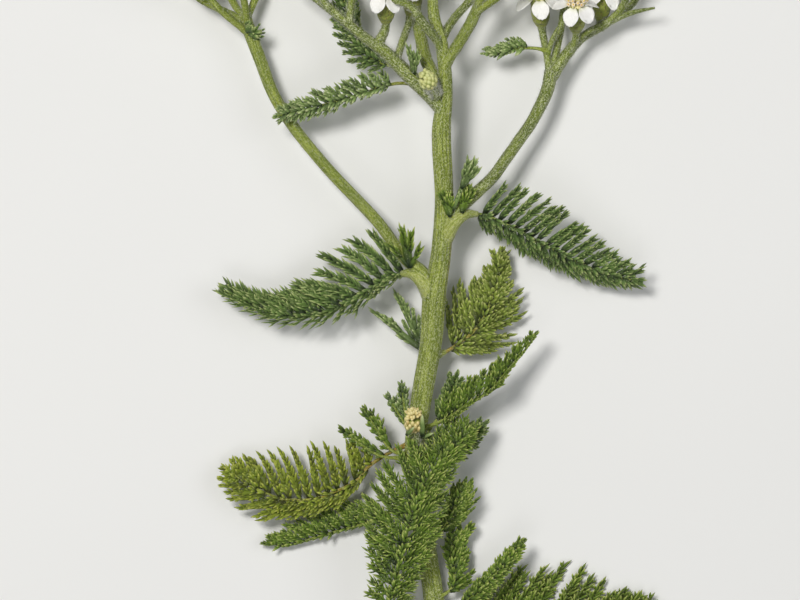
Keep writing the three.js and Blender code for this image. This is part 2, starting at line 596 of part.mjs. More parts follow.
// Each spray: the branch as points and radii, its flower heads (centre of the disc, the way
// it faces, degrees of its first ray where set, where its stalk starts and a point that the
// stalk passes), and its bracts.
const SPRAYS = {
  spray_left: {
    branch: [[4.6, 3, 8.4], [0.8, 6, 8], [-3.4, 12, 7.2], [-9, 18, 6.4], [-14.2, 24, 5.7],
      [-18.4, 30, 5.1], [-21, 36, 4.8], [-23.4, 42.6, 4.7]],
    radii: [0.85, 0.85, 0.82, 0.8, 0.8, 0.82, 0.9, 0.98],
    steps: 10,
    heads: [
      { at: [-34, 50.5, 6.2], facing: [-0.55, 0.8, 0.15], from: [-23.2, 42, 4.7], via: [-29, 44.6, 4.9] },
      { at: [-27.3, 53.6, 3.4], facing: [-0.2, 1, 0.1], from: [-23.3, 42.2, 4.7], via: [-26.2, 45.8, 3.8] },
      { at: [-20.4, 52.6, 6.2], facing: [0.15, 1, 0.25], from: [-23.2, 42, 4.7], via: [-21.6, 45.6, 5] },
      { at: [-30.6, 49.6, 12.4], facing: [-0.35, 0.75, 0.6], from: [-22.6, 40, 4.8], via: [-26.6, 43, 8.6] },
      { at: [-23.8, 53.4, 11.6], facing: [0, 0.95, 0.5], from: [-22.9, 41, 4.8], via: [-23.4, 45.6, 8] },
    ],
    bracts: [],
  },
  spray_right: {
    branch: [[7.4, 12.4, 9.7], [10.5, 15.4, 9.2], [13.5, 18.3, 8.6], [16.5, 22.5, 7.8], [19.8, 27.3, 7],
      [22, 31.8, 6.5], [22.7, 34.4, 6.4]],
    radii: [0.85, 0.85, 0.8, 0.78, 0.8, 0.9, 0.95],
    steps: 8,
    heads: [
      { at: [20.8, 45.3, 8.2], facing: [-0.1, 0.85, 0.5], spin: 54,
        from: [22.5, 33.8, 6.4], via: [22, 38, 6.2] },
      { at: [26.3, 44.1, 11], facing: [-0.02, 0.8, 0.6], spin: 26, from: [25.4, 37.2, 6], via: [26, 38, 6] },
      { at: [30.6, 46.6, 6.1], facing: [0.1, 0.9, 0.4], spin: 20,
        from: [28.6, 40.2, 5.4], via: [29.4, 40.6, 5] },
      { at: [37.4, 50.4, 3.25], facing: [0.35, 0.9, 0.1], from: [30, 40.9, 5.2], via: [35, 44.6, 3.7] },
      { at: [35.4, 52, 11.6], facing: [0.2, 0.9, 0.4], from: [30.6, 41.3, 5.2], via: [34, 43.5, 6.4] },
      { at: [25.2, 53.2, 5], facing: [0.05, 1, 0.1], from: [22.7, 34.2, 6.2], via: [25, 43, 3.4] },
    ],
    arms: [
      {
        line: [[22.6, 33.4, 6.4], [25.4, 37.4, 5.9], [27.3, 39.4, 5.6], [31, 41.5, 5.2]],
        radii: [0.9, 0.62],
      },
    ],
    bracts: [
      { line: [[31, 41.5, 5.2], [34.4, 43, 6.6], [38.2, 43.8, 7.4]], radius: 0.4 },
      { line: [[26.6, 38.9, 5.8], [27.8, 39.9, 7], [29.2, 40.6, 7.6]], radius: 0.36 },
      { line: [[22.2, 37.2, 6.2], [22.9, 39.2, 7.4], [23.6, 40.9, 8]], radius: 0.36 },
    ],
  },
  spray_upper_left: {
    branch: [[6, 29, 10.9], [3.6, 31.4, 11.2], [0.8, 34, 11.4], [-2.1, 36.9, 11.6], [-5, 39, 11.7],
      [-9.3, 42.5, 11.7], [-12.9, 45.4, 11.6]],
    radii: [0.95, 1, 0.95, 0.85, 0.78, 0.72, 0.66],
    steps: 8,
    heads: [
      { at: [-2.1, 45.6, 14.2], facing: [0, 0.85, 0.5], spin: 18,
        from: [-3.2, 37.8, 11.6], via: [-3, 39.6, 11.4] },
      { at: [2.3, 47.2, 9.6], facing: [0.15, 0.95, 0.25], spin: 54,
        from: [-0.6, 35.4, 11.5], via: [0.6, 40, 10] },
      { at: [-18.4, 53, 11.8], facing: [-0.4, 0.9, 0.1], from: [-12.4, 45, 11.6], via: [-15.2, 47.4, 11.6] },
      { at: [-12, 54.4, 9], facing: [0, 1, -0.15], from: [-11.2, 44, 11.5], via: [-12, 47.6, 10] },
      { at: [-13.6, 52.4, 16.2], facing: [-0.1, 0.85, 0.5], from: [-10.4, 43.4, 11.8], via: [-12.6, 46, 13] },
      { at: [-6.6, 53.6, 14.4], facing: [0, 1, 0.3], from: [-7.6, 41.2, 11.8], via: [-7.2, 46, 12.8] },
    ],
    bracts: [],
  },
  spray_upper_right: {
    branch: [[6.6, 35.2, 11.5], [8.7, 38.2, 11.9], [10.9, 42, 12.1], [12.1, 45, 12.2]],
    radii: [0.7, 0.75, 0.78, 0.72],
    steps: 4,
    heads: [
      { at: [16.6, 52.4, 12.4], facing: [0.3, 0.95, 0.1], from: [11.8, 44.4, 12.1], via: [14.2, 46.6, 12.2] },
      { at: [11.4, 54.6, 13.8], facing: [0.05, 1, 0.2], from: [11.8, 44.4, 12.2], via: [11.9, 48, 12.8] },
      { at: [16.8, 50.4, 19], facing: [0.25, 0.8, 0.6], from: [11.2, 42.8, 12.3], via: [14.4, 45, 15] },
    ],
    bracts: [],
  },
  spray_back: {
    branch: [[6.4, 39.4, 10.8], [8, 42, 8.8], [10.6, 45, 7.2]],
    radii: [0.66, 0.66, 0.6],
    steps: 3,
    heads: [
      { at: [15, 52, 5], facing: [0.25, 1, -0.1], from: [10.2, 44.6, 7.3], via: [12.6, 46.6, 5.9] },
    ],
    bracts: [],
  },
  spray_front: {
    branch: [[5.6, 38.6, 12.4], [4.4, 40, 13.8], [2.4, 42.6, 15.6]],
    radii: [0.66, 0.66, 0.6],
    steps: 3,
    heads: [
      { at: [-1.8, 49.4, 19.6], facing: [-0.15, 0.85, 0.5], from: [2.7, 42.3, 15.4], via: [0.8, 45.2, 16.8] },
    ],
    bracts: [],
  },
  spray_behind: {
    branch: [[5.6, 32.6, 10], [3.9, 36, 8.4], [2.8, 41, 7.2], [2.4, 43, 6.8]],
    radii: [0.9, 0.95, 0.9, 0.85],
    steps: 4,
    heads: [
      { at: [3.4, 53, 3.9], facing: [0.1, 1, -0.05], from: [2.5, 42.6, 6.8], via: [2.9, 46, 5] },
      { at: [-2.6, 52.4, 6.2], facing: [-0.3, 1, 0], from: [2.5, 42.6, 6.8], via: [0.2, 46, 6.2] },
    ],
    bracts: [],
  },
  spray_crown: {
    branch: [[4.7, 46.9, 12.4], [4.6, 48, 12.5], [4.5, 49.4, 12.6]],
    radii: [0.6, 0.6, 0.6],
    steps: 2,
    heads: [
      { at: [4, 58.6, 12], facing: [0, 1, 0.05], from: [4.5, 49, 12.5], via: [4.2, 52.4, 12.2] },
      { at: [-2.6, 57, 10.8], facing: [-0.4, 0.95, 0], from: [4.5, 48.6, 12.5], via: [1.2, 51.4, 11.8] },
      { at: [-0.8, 56.2, 17.8], facing: [-0.2, 0.9, 0.4], from: [4.6, 48.6, 12.6], via: [2.6, 51.2, 14.4] },
      { at: [7.2, 56.6, 18.4], facing: [0.15, 0.9, 0.45], from: [4.6, 48.6, 12.6], via: [5.8, 51, 15.4] },
    ],
    bracts: [],
  },
};

/** Position and directions of a flower head: the way it faces and two ways across. */
function headFrame(head) {
  const centre = vector(head.at);
  const facing = vector(head.facing).normalize();
  const across = new THREE.Vector3(1, 0, 0);
  across.addScaledVector(facing, -across.dot(facing)).normalize();
  const over = new THREE.Vector3().crossVectors(facing, across);
  return { centre, facing, across, over };
}

const DISC_UNDERSIDE = 0.43; // depth of the disc's underside at its middle
const CUP_TOP = -(DISC_UNDERSIDE + GAP + 0.02); // height of the cup's rim under the disc's centre
// Share of the cup's length below its rim, and share of its radius.
const CUP_PROFILE = [
  [1, 0.4],
  [0.72, 0.94],
  [0.36, 1.04],
  [0, 0.86],
];
const SCALE_RELIEF = 0.09;
const BRACT_TIP = 0.35; // share of its radius
const BRACT_SIDES = 4;
const BRACT_STEPS = 3;
const ARM_SIDES = 6;
const ARM_STEPS = 4;

/** A flower stalk that widens into the cup, whose scales stand out in staggered rows. */
function stalkWithCup(head) {
  const { centre, facing } = headFrame(head);
  const onAxis = (height) => centre.clone().addScaledVector(facing, height);
  const foot = onAxis(CUP_TOP - CUP_LENGTH);
  const approach = onAxis(CUP_TOP - CUP_LENGTH - STALK_APPROACH);
  const line = new THREE.CubicBezierCurve3(vector(head.from), vector(head.via), approach, foot);
  const frames = travellingFrames(line, STALK_STEPS + 1);
  const body = new Body();
  const rings = frames.slice(0, -1).map((frame) =>
    body.ring(circle(frame.centre, frame.side, frame.other, STALK_SIDES, () => STALK_RADIUS)),
  );
  for (let i = 1; i < rings.length; i += 1) body.bridge(rings[i - 1], rings[i]);
  const side = frames[STALK_STEPS].side.clone();
  side.addScaledVector(facing, -side.dot(facing)).normalize();
  const other = new THREE.Vector3().crossVectors(facing, side);
  const cupRings = CUP_PROFILE.map(([depth, width], row) => {
    const relief = (i) => 1 + ((i + row) % 2 ? SCALE_RELIEF : -SCALE_RELIEF);
    const reach = (i) => CUP_RADIUS * width * relief(i);
    return body.ring(circle(onAxis(CUP_TOP - depth * CUP_LENGTH), side, other, 2 * STALK_SIDES, reach));
  });
  body.widen(rings[rings.length - 1], cupRings[0]);
  for (let i = 1; i < cupRings.length; i += 1) body.bridge(cupRings[i - 1], cupRings[i]);
  body.fan(body.point(frames[0].centre), [...rings[0]].reverse());
  body.fan(body.point(onAxis(CUP_TOP)), cupRings[cupRings.length - 1]);
  return body.solid();
}

/** A narrow pointed bract. */
function bract({ line, radius }) {
  return tube(line, [radius, radius, BRACT_TIP * radius], BRACT_SIDES, BRACT_STEPS);
}

/** A branch with its arms, stalks, cups and bracts in one body. */
function spray(spec, clearance) {
  let joined = tube(spec.branch, spec.radii, BRANCH_SIDES, spec.steps);
  for (const arm of spec.arms ?? []) {
    joined = joined.add(tube(arm.line, arm.radii, ARM_SIDES, ARM_STEPS));
  }
  for (const head of spec.heads) joined = joined.add(stalkWithCup(head));
  for (const leaf of spec.bracts) joined = joined.add(bract(leaf));
  return joined.subtract(clearance);
}

// ---------------------------------------------------------------- blooms

const DISC_LIFT = 0.28; // half the thickness of the disc's edge
const FLORET_RADIUS = [0.86, 1.18]; // of the crest round the disc, in turn between and on the florets
const FLORET_HEIGHT = [0.5, 1.02];
const DISC_HEIGHT = 1.25;
const RAY_FOOT = 0.9; // share of the disc's radius at which a ray starts
const RAY_DROOP = [0.25, 0.55]; // least and most, at the ray's tip, as a share of its length
const BLOOM_SEED = 100;
const RAY_FOOT_ANGLE = THREE.MathUtils.degToRad(23); // half the angle of a ray's foot on the disc
const RAY_EDGE = [
  [0.3, -0.94],
  [0.72, -1],
  [1, -0.46],
  [1, 0.46],
  [0.72, 1],
  [0.3, 0.94],
];

/** One rounded ray between two pairs of corners on the disc's edge. */
function ray(body, frame, angle, top, low, droop) {
  const outward = frame.across.clone().multiplyScalar(Math.cos(angle));
  outward.addScaledVector(frame.over, Math.sin(angle));
  const sideways = frame.over.clone().multiplyScalar(Math.cos(angle));
  sideways.addScaledVector(frame.across, -Math.sin(angle));
  const place = (far, width, lift) => {
    const p = frame.centre.clone().addScaledVector(outward, RAY_FOOT * DISC_RADIUS + far * RAY_LENGTH);
    p.addScaledVector(sideways, width * RAY_HALF_WIDTH);
    return body.point(p.addScaledVector(frame.facing, lift - droop * far * far * RAY_LENGTH));
  };
  const rim = RAY_EDGE.map(([far, width]) => place(far, width, 0));
  const topHub = place(0.5, 0, BLADE_THICKNESS / 2);
  const lowHub = place(0.5, 0, -BLADE_THICKNESS / 2);
  body.fan(topHub, [top[0], ...rim, top[1]]);
  body.fan(lowHub, [low[0], ...rim, low[1]].reverse());
  body.triangle(top[0], low[0], rim[0]);
  body.triangle(low[1], top[1], rim[rim.length - 1]);
}

/** A flower head: five rays round a disc of florets in relief, as one closed body. */
function bloom(head, index) {
  const frame = headFrame(head);
  const body = new Body();
  const random = seeded(BLOOM_SEED + index);
  const chance = random() * ((2 * Math.PI) / RAYS_PER_HEAD);
  const spin = head.spin === undefined ? chance : THREE.MathUtils.degToRad(head.spin);
  const corners = [];
  for (let k = 0; k < RAYS_PER_HEAD; k += 1) {
    const middle = spin + (2 * Math.PI * k) / RAYS_PER_HEAD;
    corners.push(middle - RAY_FOOT_ANGLE, middle + RAY_FOOT_ANGLE);
  }
  const ringAt = (radiusAt, heightAt) =>
    corners.map((angle, i) => {
      const p = frame.centre.clone().addScaledVector(frame.facing, heightAt(i));
      p.addScaledVector(frame.across, radiusAt(i) * Math.cos(angle));
      return body.point(p.addScaledVector(frame.over, radiusAt(i) * Math.sin(angle)));
    });
  const edgeTop = ringAt(() => DISC_RADIUS, () => DISC_LIFT);
  const edgeLow = ringAt(() => DISC_RADIUS, () => -DISC_LIFT);
  for (let k = 0; k < RAYS_PER_HEAD; k += 1) {
    const a = 2 * k;
    const b = a + 1;
    const next = (b + 1) % corners.length;
    const angle = spin + (2 * Math.PI * k) / RAYS_PER_HEAD;
    const droop = along(RAY_DROOP, random());
    ray(body, frame, angle, [edgeTop[a], edgeTop[b]], [edgeLow[a], edgeLow[b]], droop);
    body.quad(edgeLow[b], edgeLow[next], edgeTop[next], edgeTop[b]);
  }
  // The florets: five round the edge of the disc, standing out, and one in the middle.
  const crest = ringAt((i) => FLORET_RADIUS[i % 2], (i) => FLORET_HEIGHT[i % 2]);
  body.bridge(edgeTop, crest);
  body.fan(body.point(frame.centre.clone().addScaledVector(frame.facing, DISC_HEIGHT)), crest);
  const under = frame.centre.clone().addScaledVector(frame.facing, -DISC_UNDERSIDE);
  body.fan(body.point(under), [...edgeLow].reverse());
  return body.solid();
}

// ---------------------------------------------------------------- buds

const BUD_SIDES = 10;
const BUD_STALK_RADII = [0.62, 0.55];
const BUD_STALK_SIDES = 6;
const BUD_STALK_STEPS = 4;
const BUD_STALK_INSIDE = 0.3; // place of the stalk's end below the bud's middle, as a share of its length
const BUD_STALK_APPROACH = 0.6; // how far below the bud the stalk takes up its direction
const BUDS = {
  bud_lower: {
    at: [2.2, -17.4, 10],
    facing: [0.1, 0.95, 0.35],
    from: [2.3, -23.6, 6.6],
    radius: 1.6,
    length: 3.6,
  },
  bud_upper: {
    at: [4.5, 33.6, 13.9],
    facing: [-0.15, 0.95, 0.3],
    from: [5.2, 30.2, 12.2],
    radius: 1.3,
    length: 3,
  },
};
// Share of the bud's length from its foot, and share of its radius, up to the closed florets.
const BUD_PROFILE = [
  [0, 0.4],
  [0.2, 0.85],
  [0.5, 1],
  [0.75, 0.9],
  [0.92, 0.55],
];

/** A bud on a short stalk: overlapping scales below, tight florets in a bumpy dome above. */
function bud(spec, clearance) {
  const frame = headFrame(spec);
  const body = new Body();
  const rings = BUD_PROFILE.map(([share, width], row) => {
    const relief = (i) => 1 + ((i + row) % 2 ? SCALE_RELIEF : -SCALE_RELIEF);
    const height = (share - 0.5) * spec.length;
    const middle = frame.centre.clone().addScaledVector(frame.facing, height);
    const reach = (i) => spec.radius * width * relief(i);
    return body.ring(circle(middle, frame.across, frame.over, BUD_SIDES, reach));
  });
  for (let i = 1; i < rings.length; i += 1) body.bridge(rings[i - 1], rings[i]);
  const foot = frame.centre.clone().addScaledVector(frame.facing, -0.5 * spec.length);
  const crown = frame.centre.clone().addScaledVector(frame.facing, 0.5 * spec.length);
  body.fan(body.point(foot), [...rings[0]].reverse());
  body.fan(body.point(crown), rings[rings.length - 1]);
  const inside = frame.centre.clone().addScaledVector(frame.facing, -BUD_STALK_INSIDE * spec.length);
  const before = foot.clone().addScaledVector(frame.facing, -BUD_STALK_APPROACH);
  const line = [spec.from, before.toArray(), inside.toArray()];
  const stalk = tube(line, BUD_STALK_RADII, BUD_STALK_SIDES, BUD_STALK_STEPS);
  return body.solid().add(stalk).subtract(clearance);
}

// ---------------------------------------------------------------- assembly

/** The main stem, fattened by extra for cutting the pieces that grow from it. */
function mainStem(extra = 0) {
  const points = STEM_LINE.map(([x, y]) => [x, y, stemHeight(y)]);
  const radii = STEM_LINE.map(([, , radius]) => radius);
  return tube(points, radii, STEM_SIDES, STEM_STEPS, extra ? 0 : STEM_RIB_DEPTH, extra);
}

/** The branch of a spray alone, fattened by the gap. */
function fattenedBranch(spec) {
  return tube(spec.branch, spec.radii, BRANCH_SIDES, spec.steps, 0, GAP);
}

const TABLE_SIZE = [200, 240, 10];

/** Everything under the table's top. */
function underTable() {
  const block = new THREE.BoxGeometry(...TABLE_SIZE);
  block.translate(0, 0, -TABLE_SIZE[2] / 2);
  return solidOf(block);
}

const plant = new THREE.Group();
plant.position.set(-FOOTPRINT_CENTRE[0], -FOOTPRINT_CENTRE[1], 0);

/** Adds a solid to the plant as a named mesh. */
function place(name, solid, material) {
  const made = solid.getMesh();
  const geometry = new THREE.BufferGeometry();
  geometry.setAttribute("position", new THREE.BufferAttribute(made.vertProperties, 3));
  geometry.setIndex(new THREE.BufferAttribute(made.triVerts, 1));
  geometry.computeVertexNormals();
  const mesh = new THREE.Mesh(geometry, MATERIALS[material]);
  mesh.name = name;
  plant.add(mesh);
}

const table = underTable();
const aroundStem = mainStem(GAP);
let aroundGreen = aroundStem;
for (const spec of Object.values(SPRAYS)) aroundGreen = aroundGreen.add(fattenedBranch(spec));

place("main_stem", mainStem().subtract(table), "stem");
let headIndex = 0;
for (const [name, spec] of Object.entries(SPRAYS)) {
  place(name, spray(spec, aroundStem).subtract(table), "spray");
  for (const head of spec.heads) {
    headIndex += 1;
    const number = String(headIndex).padStart(2, "0");
    place(`bloom_${number}`, bloom(head, headIndex).subtract(table), "bloom");
  }
}
for (const [name, spec] of Object.entries(FRONDS)) {
  place(name, frond(spec).subtract(aroundGreen).subtract(table), spec.material);
}
for (const [name, spec] of Object.entries(BUDS)) {
  place(name, bud(spec, aroundGreen).subtract(table), "bud");
}

export default plant;
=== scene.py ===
"""Dresses one cut flowering stem of common yarrow that lies on a pale table.

Lines and sizes are in millimetres, in the frame in which the plant is drawn. Each finished mesh
is moved so that the origin is the middle of the plant's footprint, and turned into metres.
"""

import logging
import math
from dataclasses import dataclass, field
from enum import Enum
from random import Random
from typing import Callable, Iterator, NamedTuple

import bpy
import numpy as np
from bpy.types import Material, NodeSocket as Socket, NodeTree, Object
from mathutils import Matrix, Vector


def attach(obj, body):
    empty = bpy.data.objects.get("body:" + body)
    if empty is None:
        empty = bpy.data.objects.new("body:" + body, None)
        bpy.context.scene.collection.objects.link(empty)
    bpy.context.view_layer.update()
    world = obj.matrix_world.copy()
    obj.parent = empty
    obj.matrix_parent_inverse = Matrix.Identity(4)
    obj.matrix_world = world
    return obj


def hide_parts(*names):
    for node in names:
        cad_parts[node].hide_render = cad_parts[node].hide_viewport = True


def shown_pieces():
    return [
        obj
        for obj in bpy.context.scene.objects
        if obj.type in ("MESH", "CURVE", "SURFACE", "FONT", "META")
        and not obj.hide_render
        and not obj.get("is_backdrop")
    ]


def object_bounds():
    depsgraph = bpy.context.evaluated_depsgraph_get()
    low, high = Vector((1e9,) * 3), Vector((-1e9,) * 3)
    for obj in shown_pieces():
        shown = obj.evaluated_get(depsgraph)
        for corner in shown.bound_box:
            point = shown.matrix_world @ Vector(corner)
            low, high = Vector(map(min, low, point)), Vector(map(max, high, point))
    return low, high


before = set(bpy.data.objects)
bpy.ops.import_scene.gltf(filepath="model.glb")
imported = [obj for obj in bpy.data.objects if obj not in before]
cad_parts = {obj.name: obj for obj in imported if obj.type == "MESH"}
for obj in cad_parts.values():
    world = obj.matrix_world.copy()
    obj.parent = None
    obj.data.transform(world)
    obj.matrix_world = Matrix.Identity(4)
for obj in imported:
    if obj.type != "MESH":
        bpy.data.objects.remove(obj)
cad_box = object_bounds()

log = logging.getLogger("yarrow")

METRE = 0.001
FOOTPRINT_CENTRE = np.array([1.9, -1.2, 0.0])
BODY = "root"
PRESS_HEIGHT = 0.2
CUT_END_Y = -62.0
CUT_END_HEIGHT = 1.42
STEM_RISE = 0.1
GOLDEN_ANGLE = 2.39996
RIGHT = np.array([1.0, 0.0, 0.0])
UP = np.array([0.0, 0.0, 1.0])

Array = np.ndarray
Point = tuple[float, float, float]
Line = tuple[Point, ...]
Colour = tuple[float, float, float]
Field = Callable[[Array, Array], Array]


# ---- vectors and lines


def unit(vector: Array) -> Array:
    """Returns the vector at length 1."""
    return vector / max(float(np.linalg.norm(vector)), 1e-9)


def square_to(vector: Array, ahead: Array) -> Array:
    """Returns the part of a vector that is square to a direction, at length 1."""
    return unit(vector - ahead * float(vector @ ahead))


def swung(first: Array, second: Array, angle: float) -> Array:
    """Returns the first of two directions, swung towards the second by an angle."""
    return first * math.cos(angle) + second * math.sin(angle)


def spot(point: Point) -> Array:
    """Returns a point as an array."""
    return np.array(point, dtype=float)


def along(values: tuple[float, ...], share: float) -> float:
    """Reads a list of evenly spaced values.

    Args:
        values: The values from start to end.
        share: Place from 0 to 1.

    Returns:
        The value there, interpolated.
    """
    return float(np.interp(share, np.linspace(0.0, 1.0, len(values)), values))


def paint(red: float, green: float, blue: float) -> tuple[float, float, float, float]:
    """Returns an opaque linear colour from display values of 0 to 255."""
    return (*((value / 255.0) ** 2.2 for value in (red, green, blue)), 1.0)


def stem_height(y: float) -> float:
    """Returns the height of the main stem's centre line over the table at y."""
    return CUT_END_HEIGHT + STEM_RISE * (y - CUT_END_Y)


class Spine:
    """A smooth line through given points, read by its length.

    Args:
        points: The points, in order.
    """

    SAMPLES = 480

    def __init__(self, points: Line) -> None:
        self.points = np.array(points, dtype=float)
        self._params = np.linspace(0.0, 1.0, self.SAMPLES + 1)
        self._path = self._through(self._params)
        steps = np.linalg.norm(np.diff(self._path, axis=0), axis=1)
        self._reached = np.concatenate([[0.0], np.cumsum(steps)])
        self.length = float(self._reached[-1])

    def _through(self, params: Array) -> Array:
        """Returns the points of the centripetal curve at these parameters."""
        p = self.points
        last = len(p) - 1
        place = params * last
        index = np.minimum(place.astype(int), last - 1)
        w = (place - index)[:, None]
        padded = np.vstack([2 * p[0] - p[1], p, 2 * p[-1] - p[-2]])
        a, b, c, d = (padded[index + k] for k in range(4))
        ab, bc, cd = (np.sqrt(np.linalg.norm(q - r, axis=1))[:, None] for r, q in ((a, b), (b, c), (c, d)))
        into = ((b - a) / ab - (c - a) / (ab + bc) + (c - b) / bc) * bc
        out = ((c - b) / bc - (d - b) / (bc + cd) + (d - c) / cd) * bc
        square = 3 * (c - b) - 2 * into - out
        cube = 2 * (b - c) + into + out
        return b + into * w + square * w**2 + cube * w**3

    def parameter(self, share: float) -> float:
        """Returns how far through the list of points a share of the length is."""
        return float(np.interp(share * self.length, self._reached, self._params))

    def at(self, share: float) -> Array:
        """Returns the point at a share of the length."""
        reach = min(max(share, 0.0), 1.0) * self.length
        return np.array([np.interp(reach, self._reached, self._path[:, k]) for k in range(3)])

    def heading(self, share: float, reach: float = 0.02) -> Array:
        """Returns the line's direction, read over a reach on each side of a place."""
        return unit(self.at(share + reach) - self.at(share - reach))


class Station(NamedTuple):
    """One cross-section of a swept form: its centre, its directions and its two half sizes."""

    centre: Array
    ahead: Array
    side: Array
    over: Array
    half_width: float
    half_height: float


def stations_along(spine: Spine, radius: Callable[[float], float], count: int) -> list[Station]:
    """Makes round cross-sections that travel along a line without spinning.

    Args:
        spine: The line.
        radius: Gives the radius at a share of the length.
        count: How many cross-sections.

    Returns:
        The cross-sections in order.
    """
    made: list[Station] = []
    side = UP
    for share in np.linspace(0.0, 1.0, count):
        ahead = spine.heading(float(share))
        if abs(float(side @ ahead)) > 0.95:
            side = RIGHT
        side = square_to(side, ahead)
        size = radius(float(share))
        made.append(Station(spine.at(float(share)), ahead, side, np.cross(ahead, side), size, size))
    return made


# ---- patterns, modelled once


@dataclass(frozen=True)
class Pattern:
    """A small closed shape that lies along X from 0 to 1, modelled once and copied."""

    points: Array
    triangles: Array


class Bench:
    """Models the patterns in edit mode."""

    NEAR = 1e-3

    @staticmethod
    def clear() -> None:
        """Leaves edit mode and deselects every object."""
        if bpy.context.object is not None and bpy.context.object.mode != "OBJECT":
            bpy.ops.object.mode_set(mode="OBJECT")
        bpy.ops.object.select_all(action="DESELECT")

    @staticmethod
    def pick(work: Object, wanted: Callable[[object], bool], kind: str = "VERT") -> None:
        """Selects vertices, edges or faces and enters edit mode.

        Args:
            work: The object in hand.
            wanted: Says of a vertex, edge or face whether it is selected.
            kind: VERT, EDGE or FACE.
        """
        mesh = work.data
        kinds = {"VERT": mesh.vertices, "EDGE": mesh.edges, "FACE": mesh.polygons}
        for items in kinds.values():
            items.foreach_set("select", [False] * len(items))
        bpy.context.tool_settings.mesh_select_mode = tuple(name == kind for name in kinds)
        for item in kinds[kind]:
            item.select = wanted(item)
        bpy.ops.object.mode_set(mode="EDIT")

    def rod(self, sides: int, cuts: tuple[int, ...]) -> Object:
        """Adds a rod along X and cuts it into rings.

        Args:
            sides: Corners of a ring.
            cuts: How many cuts each pass puts into every stretch.

        Returns:
            The rod, of radius 1.
        """
        self.clear()
        bpy.ops.mesh.primitive_cylinder_add(
            vertices=sides,
            radius=1.0,
            depth=1.0,
            end_fill_type="NGON",
            location=(0.5, 0.0, 0.0),
            rotation=(0.0, math.pi / 2, 0.0),
        )
        work = bpy.context.active_object
        bpy.ops.object.transform_apply(location=True, rotation=True, scale=True)
        for count in cuts:
            corners = work.data.vertices
            self.pick(
                work,
                lambda edge: abs(corners[edge.vertices[0]].co.x - corners[edge.vertices[1]].co.x) > self.NEAR,
                "EDGE",
            )
            bpy.ops.mesh.subdivide(number_cuts=count)
            bpy.ops.object.mode_set(mode="OBJECT")
        return work

    def ring(self, work: Object, place: float, width: float, height: float) -> None:
        """Widens the ring at one place along a rod.

        Args:
            work: The rod.
            place: The ring's X.
            width: Its new half width along Y.
            height: Its new half height along Z.
        """
        self.pick(work, lambda corner: abs(corner.co.x - place) < self.NEAR)
        bpy.ops.transform.resize(value=(1.0, width, height), center_override=(place, 0.0, 0.0))
        bpy.ops.object.mode_set(mode="OBJECT")

    def point(self, work: Object) -> None:
        """Draws the far end of a rod together into a tip."""
        self.pick(work, lambda corner: corner.co.x > 1.0 - self.NEAR)
        bpy.ops.mesh.merge(type="CENTER")
        bpy.ops.object.mode_set(mode="OBJECT")

    def hand_over(self, work: Object) -> Pattern:
        """Turns the object in hand into a pattern of triangles that face outwards."""
        self.pick(work, lambda face: True, "FACE")
        bpy.ops.mesh.quads_convert_to_tris(quad_method="BEAUTY", ngon_method="BEAUTY")
        bpy.ops.mesh.normals_make_consistent(inside=False)
        bpy.ops.object.mode_set(mode="OBJECT")
        mesh = work.data
        points = np.empty(3 * len(mesh.vertices))
        mesh.vertices.foreach_get("co", points)
        corners = np.empty(3 * len(mesh.polygons), dtype=np.int32)
        mesh.polygons.foreach_get("vertices", corners)
        bpy.data.objects.remove(work)
        bpy.data.meshes.remove(mesh)
        return Pattern(points.reshape(-1, 3), corners.reshape(-1, 3))

    def tapered(self, sides: int, cuts: int, widths: tuple[float, ...]) -> Pattern:
        """Models a form that narrows to a tip.

        Args:
            sides: Corners of a ring.
            cuts: Rings between its foot and its tip.
            widths: Half width at the foot and at each ring.

        Returns:
            The pattern.
        """
        work = self.rod(sides, (cuts,))
        for index, width in enumerate(widths):
            self.ring(work, index / (cuts + 1), width, 0.35 + 0.65 * width)
        self.point(work)
        return self.hand_over(work)

    def floret(self) -> Pattern:
        """Models an open disc floret: a tube with five lobes round a sunken throat."""
        work = self.rod(10, (2,))
        for place, width in ((0.0, 0.5), (1 / 3, 0.5), (2 / 3, 0.78)):
            self.ring(work, place, width, width)
        self.pick(work, lambda face: face.center.x > 1.0 - self.NEAR, "FACE")
        bpy.ops.mesh.inset(thickness=0.35, depth=0.0)
        bpy.ops.transform.translate(value=(-0.22, 0.0, 0.0))
        bpy.ops.object.mode_set(mode="OBJECT")
        rim = [v.index for v in work.data.vertices if v.co.x > 1.0 - self.NEAR]
        turns = {i: math.atan2(work.data.vertices[i].co.y, work.data.vertices[i].co.z) for i in rim}
        lobes = set(sorted(rim, key=turns.get)[::2])
        self.pick(work, lambda corner: corner.index in lobes)
        bpy.ops.transform.resize(value=(1.0, 1.45, 1.45), center_override=(1.0, 0.0, 0.0))
        bpy.ops.transform.translate(value=(-0.08, 0.0, 0.0))
        bpy.ops.object.mode_set(mode="OBJECT")
        return self.hand_over(work)

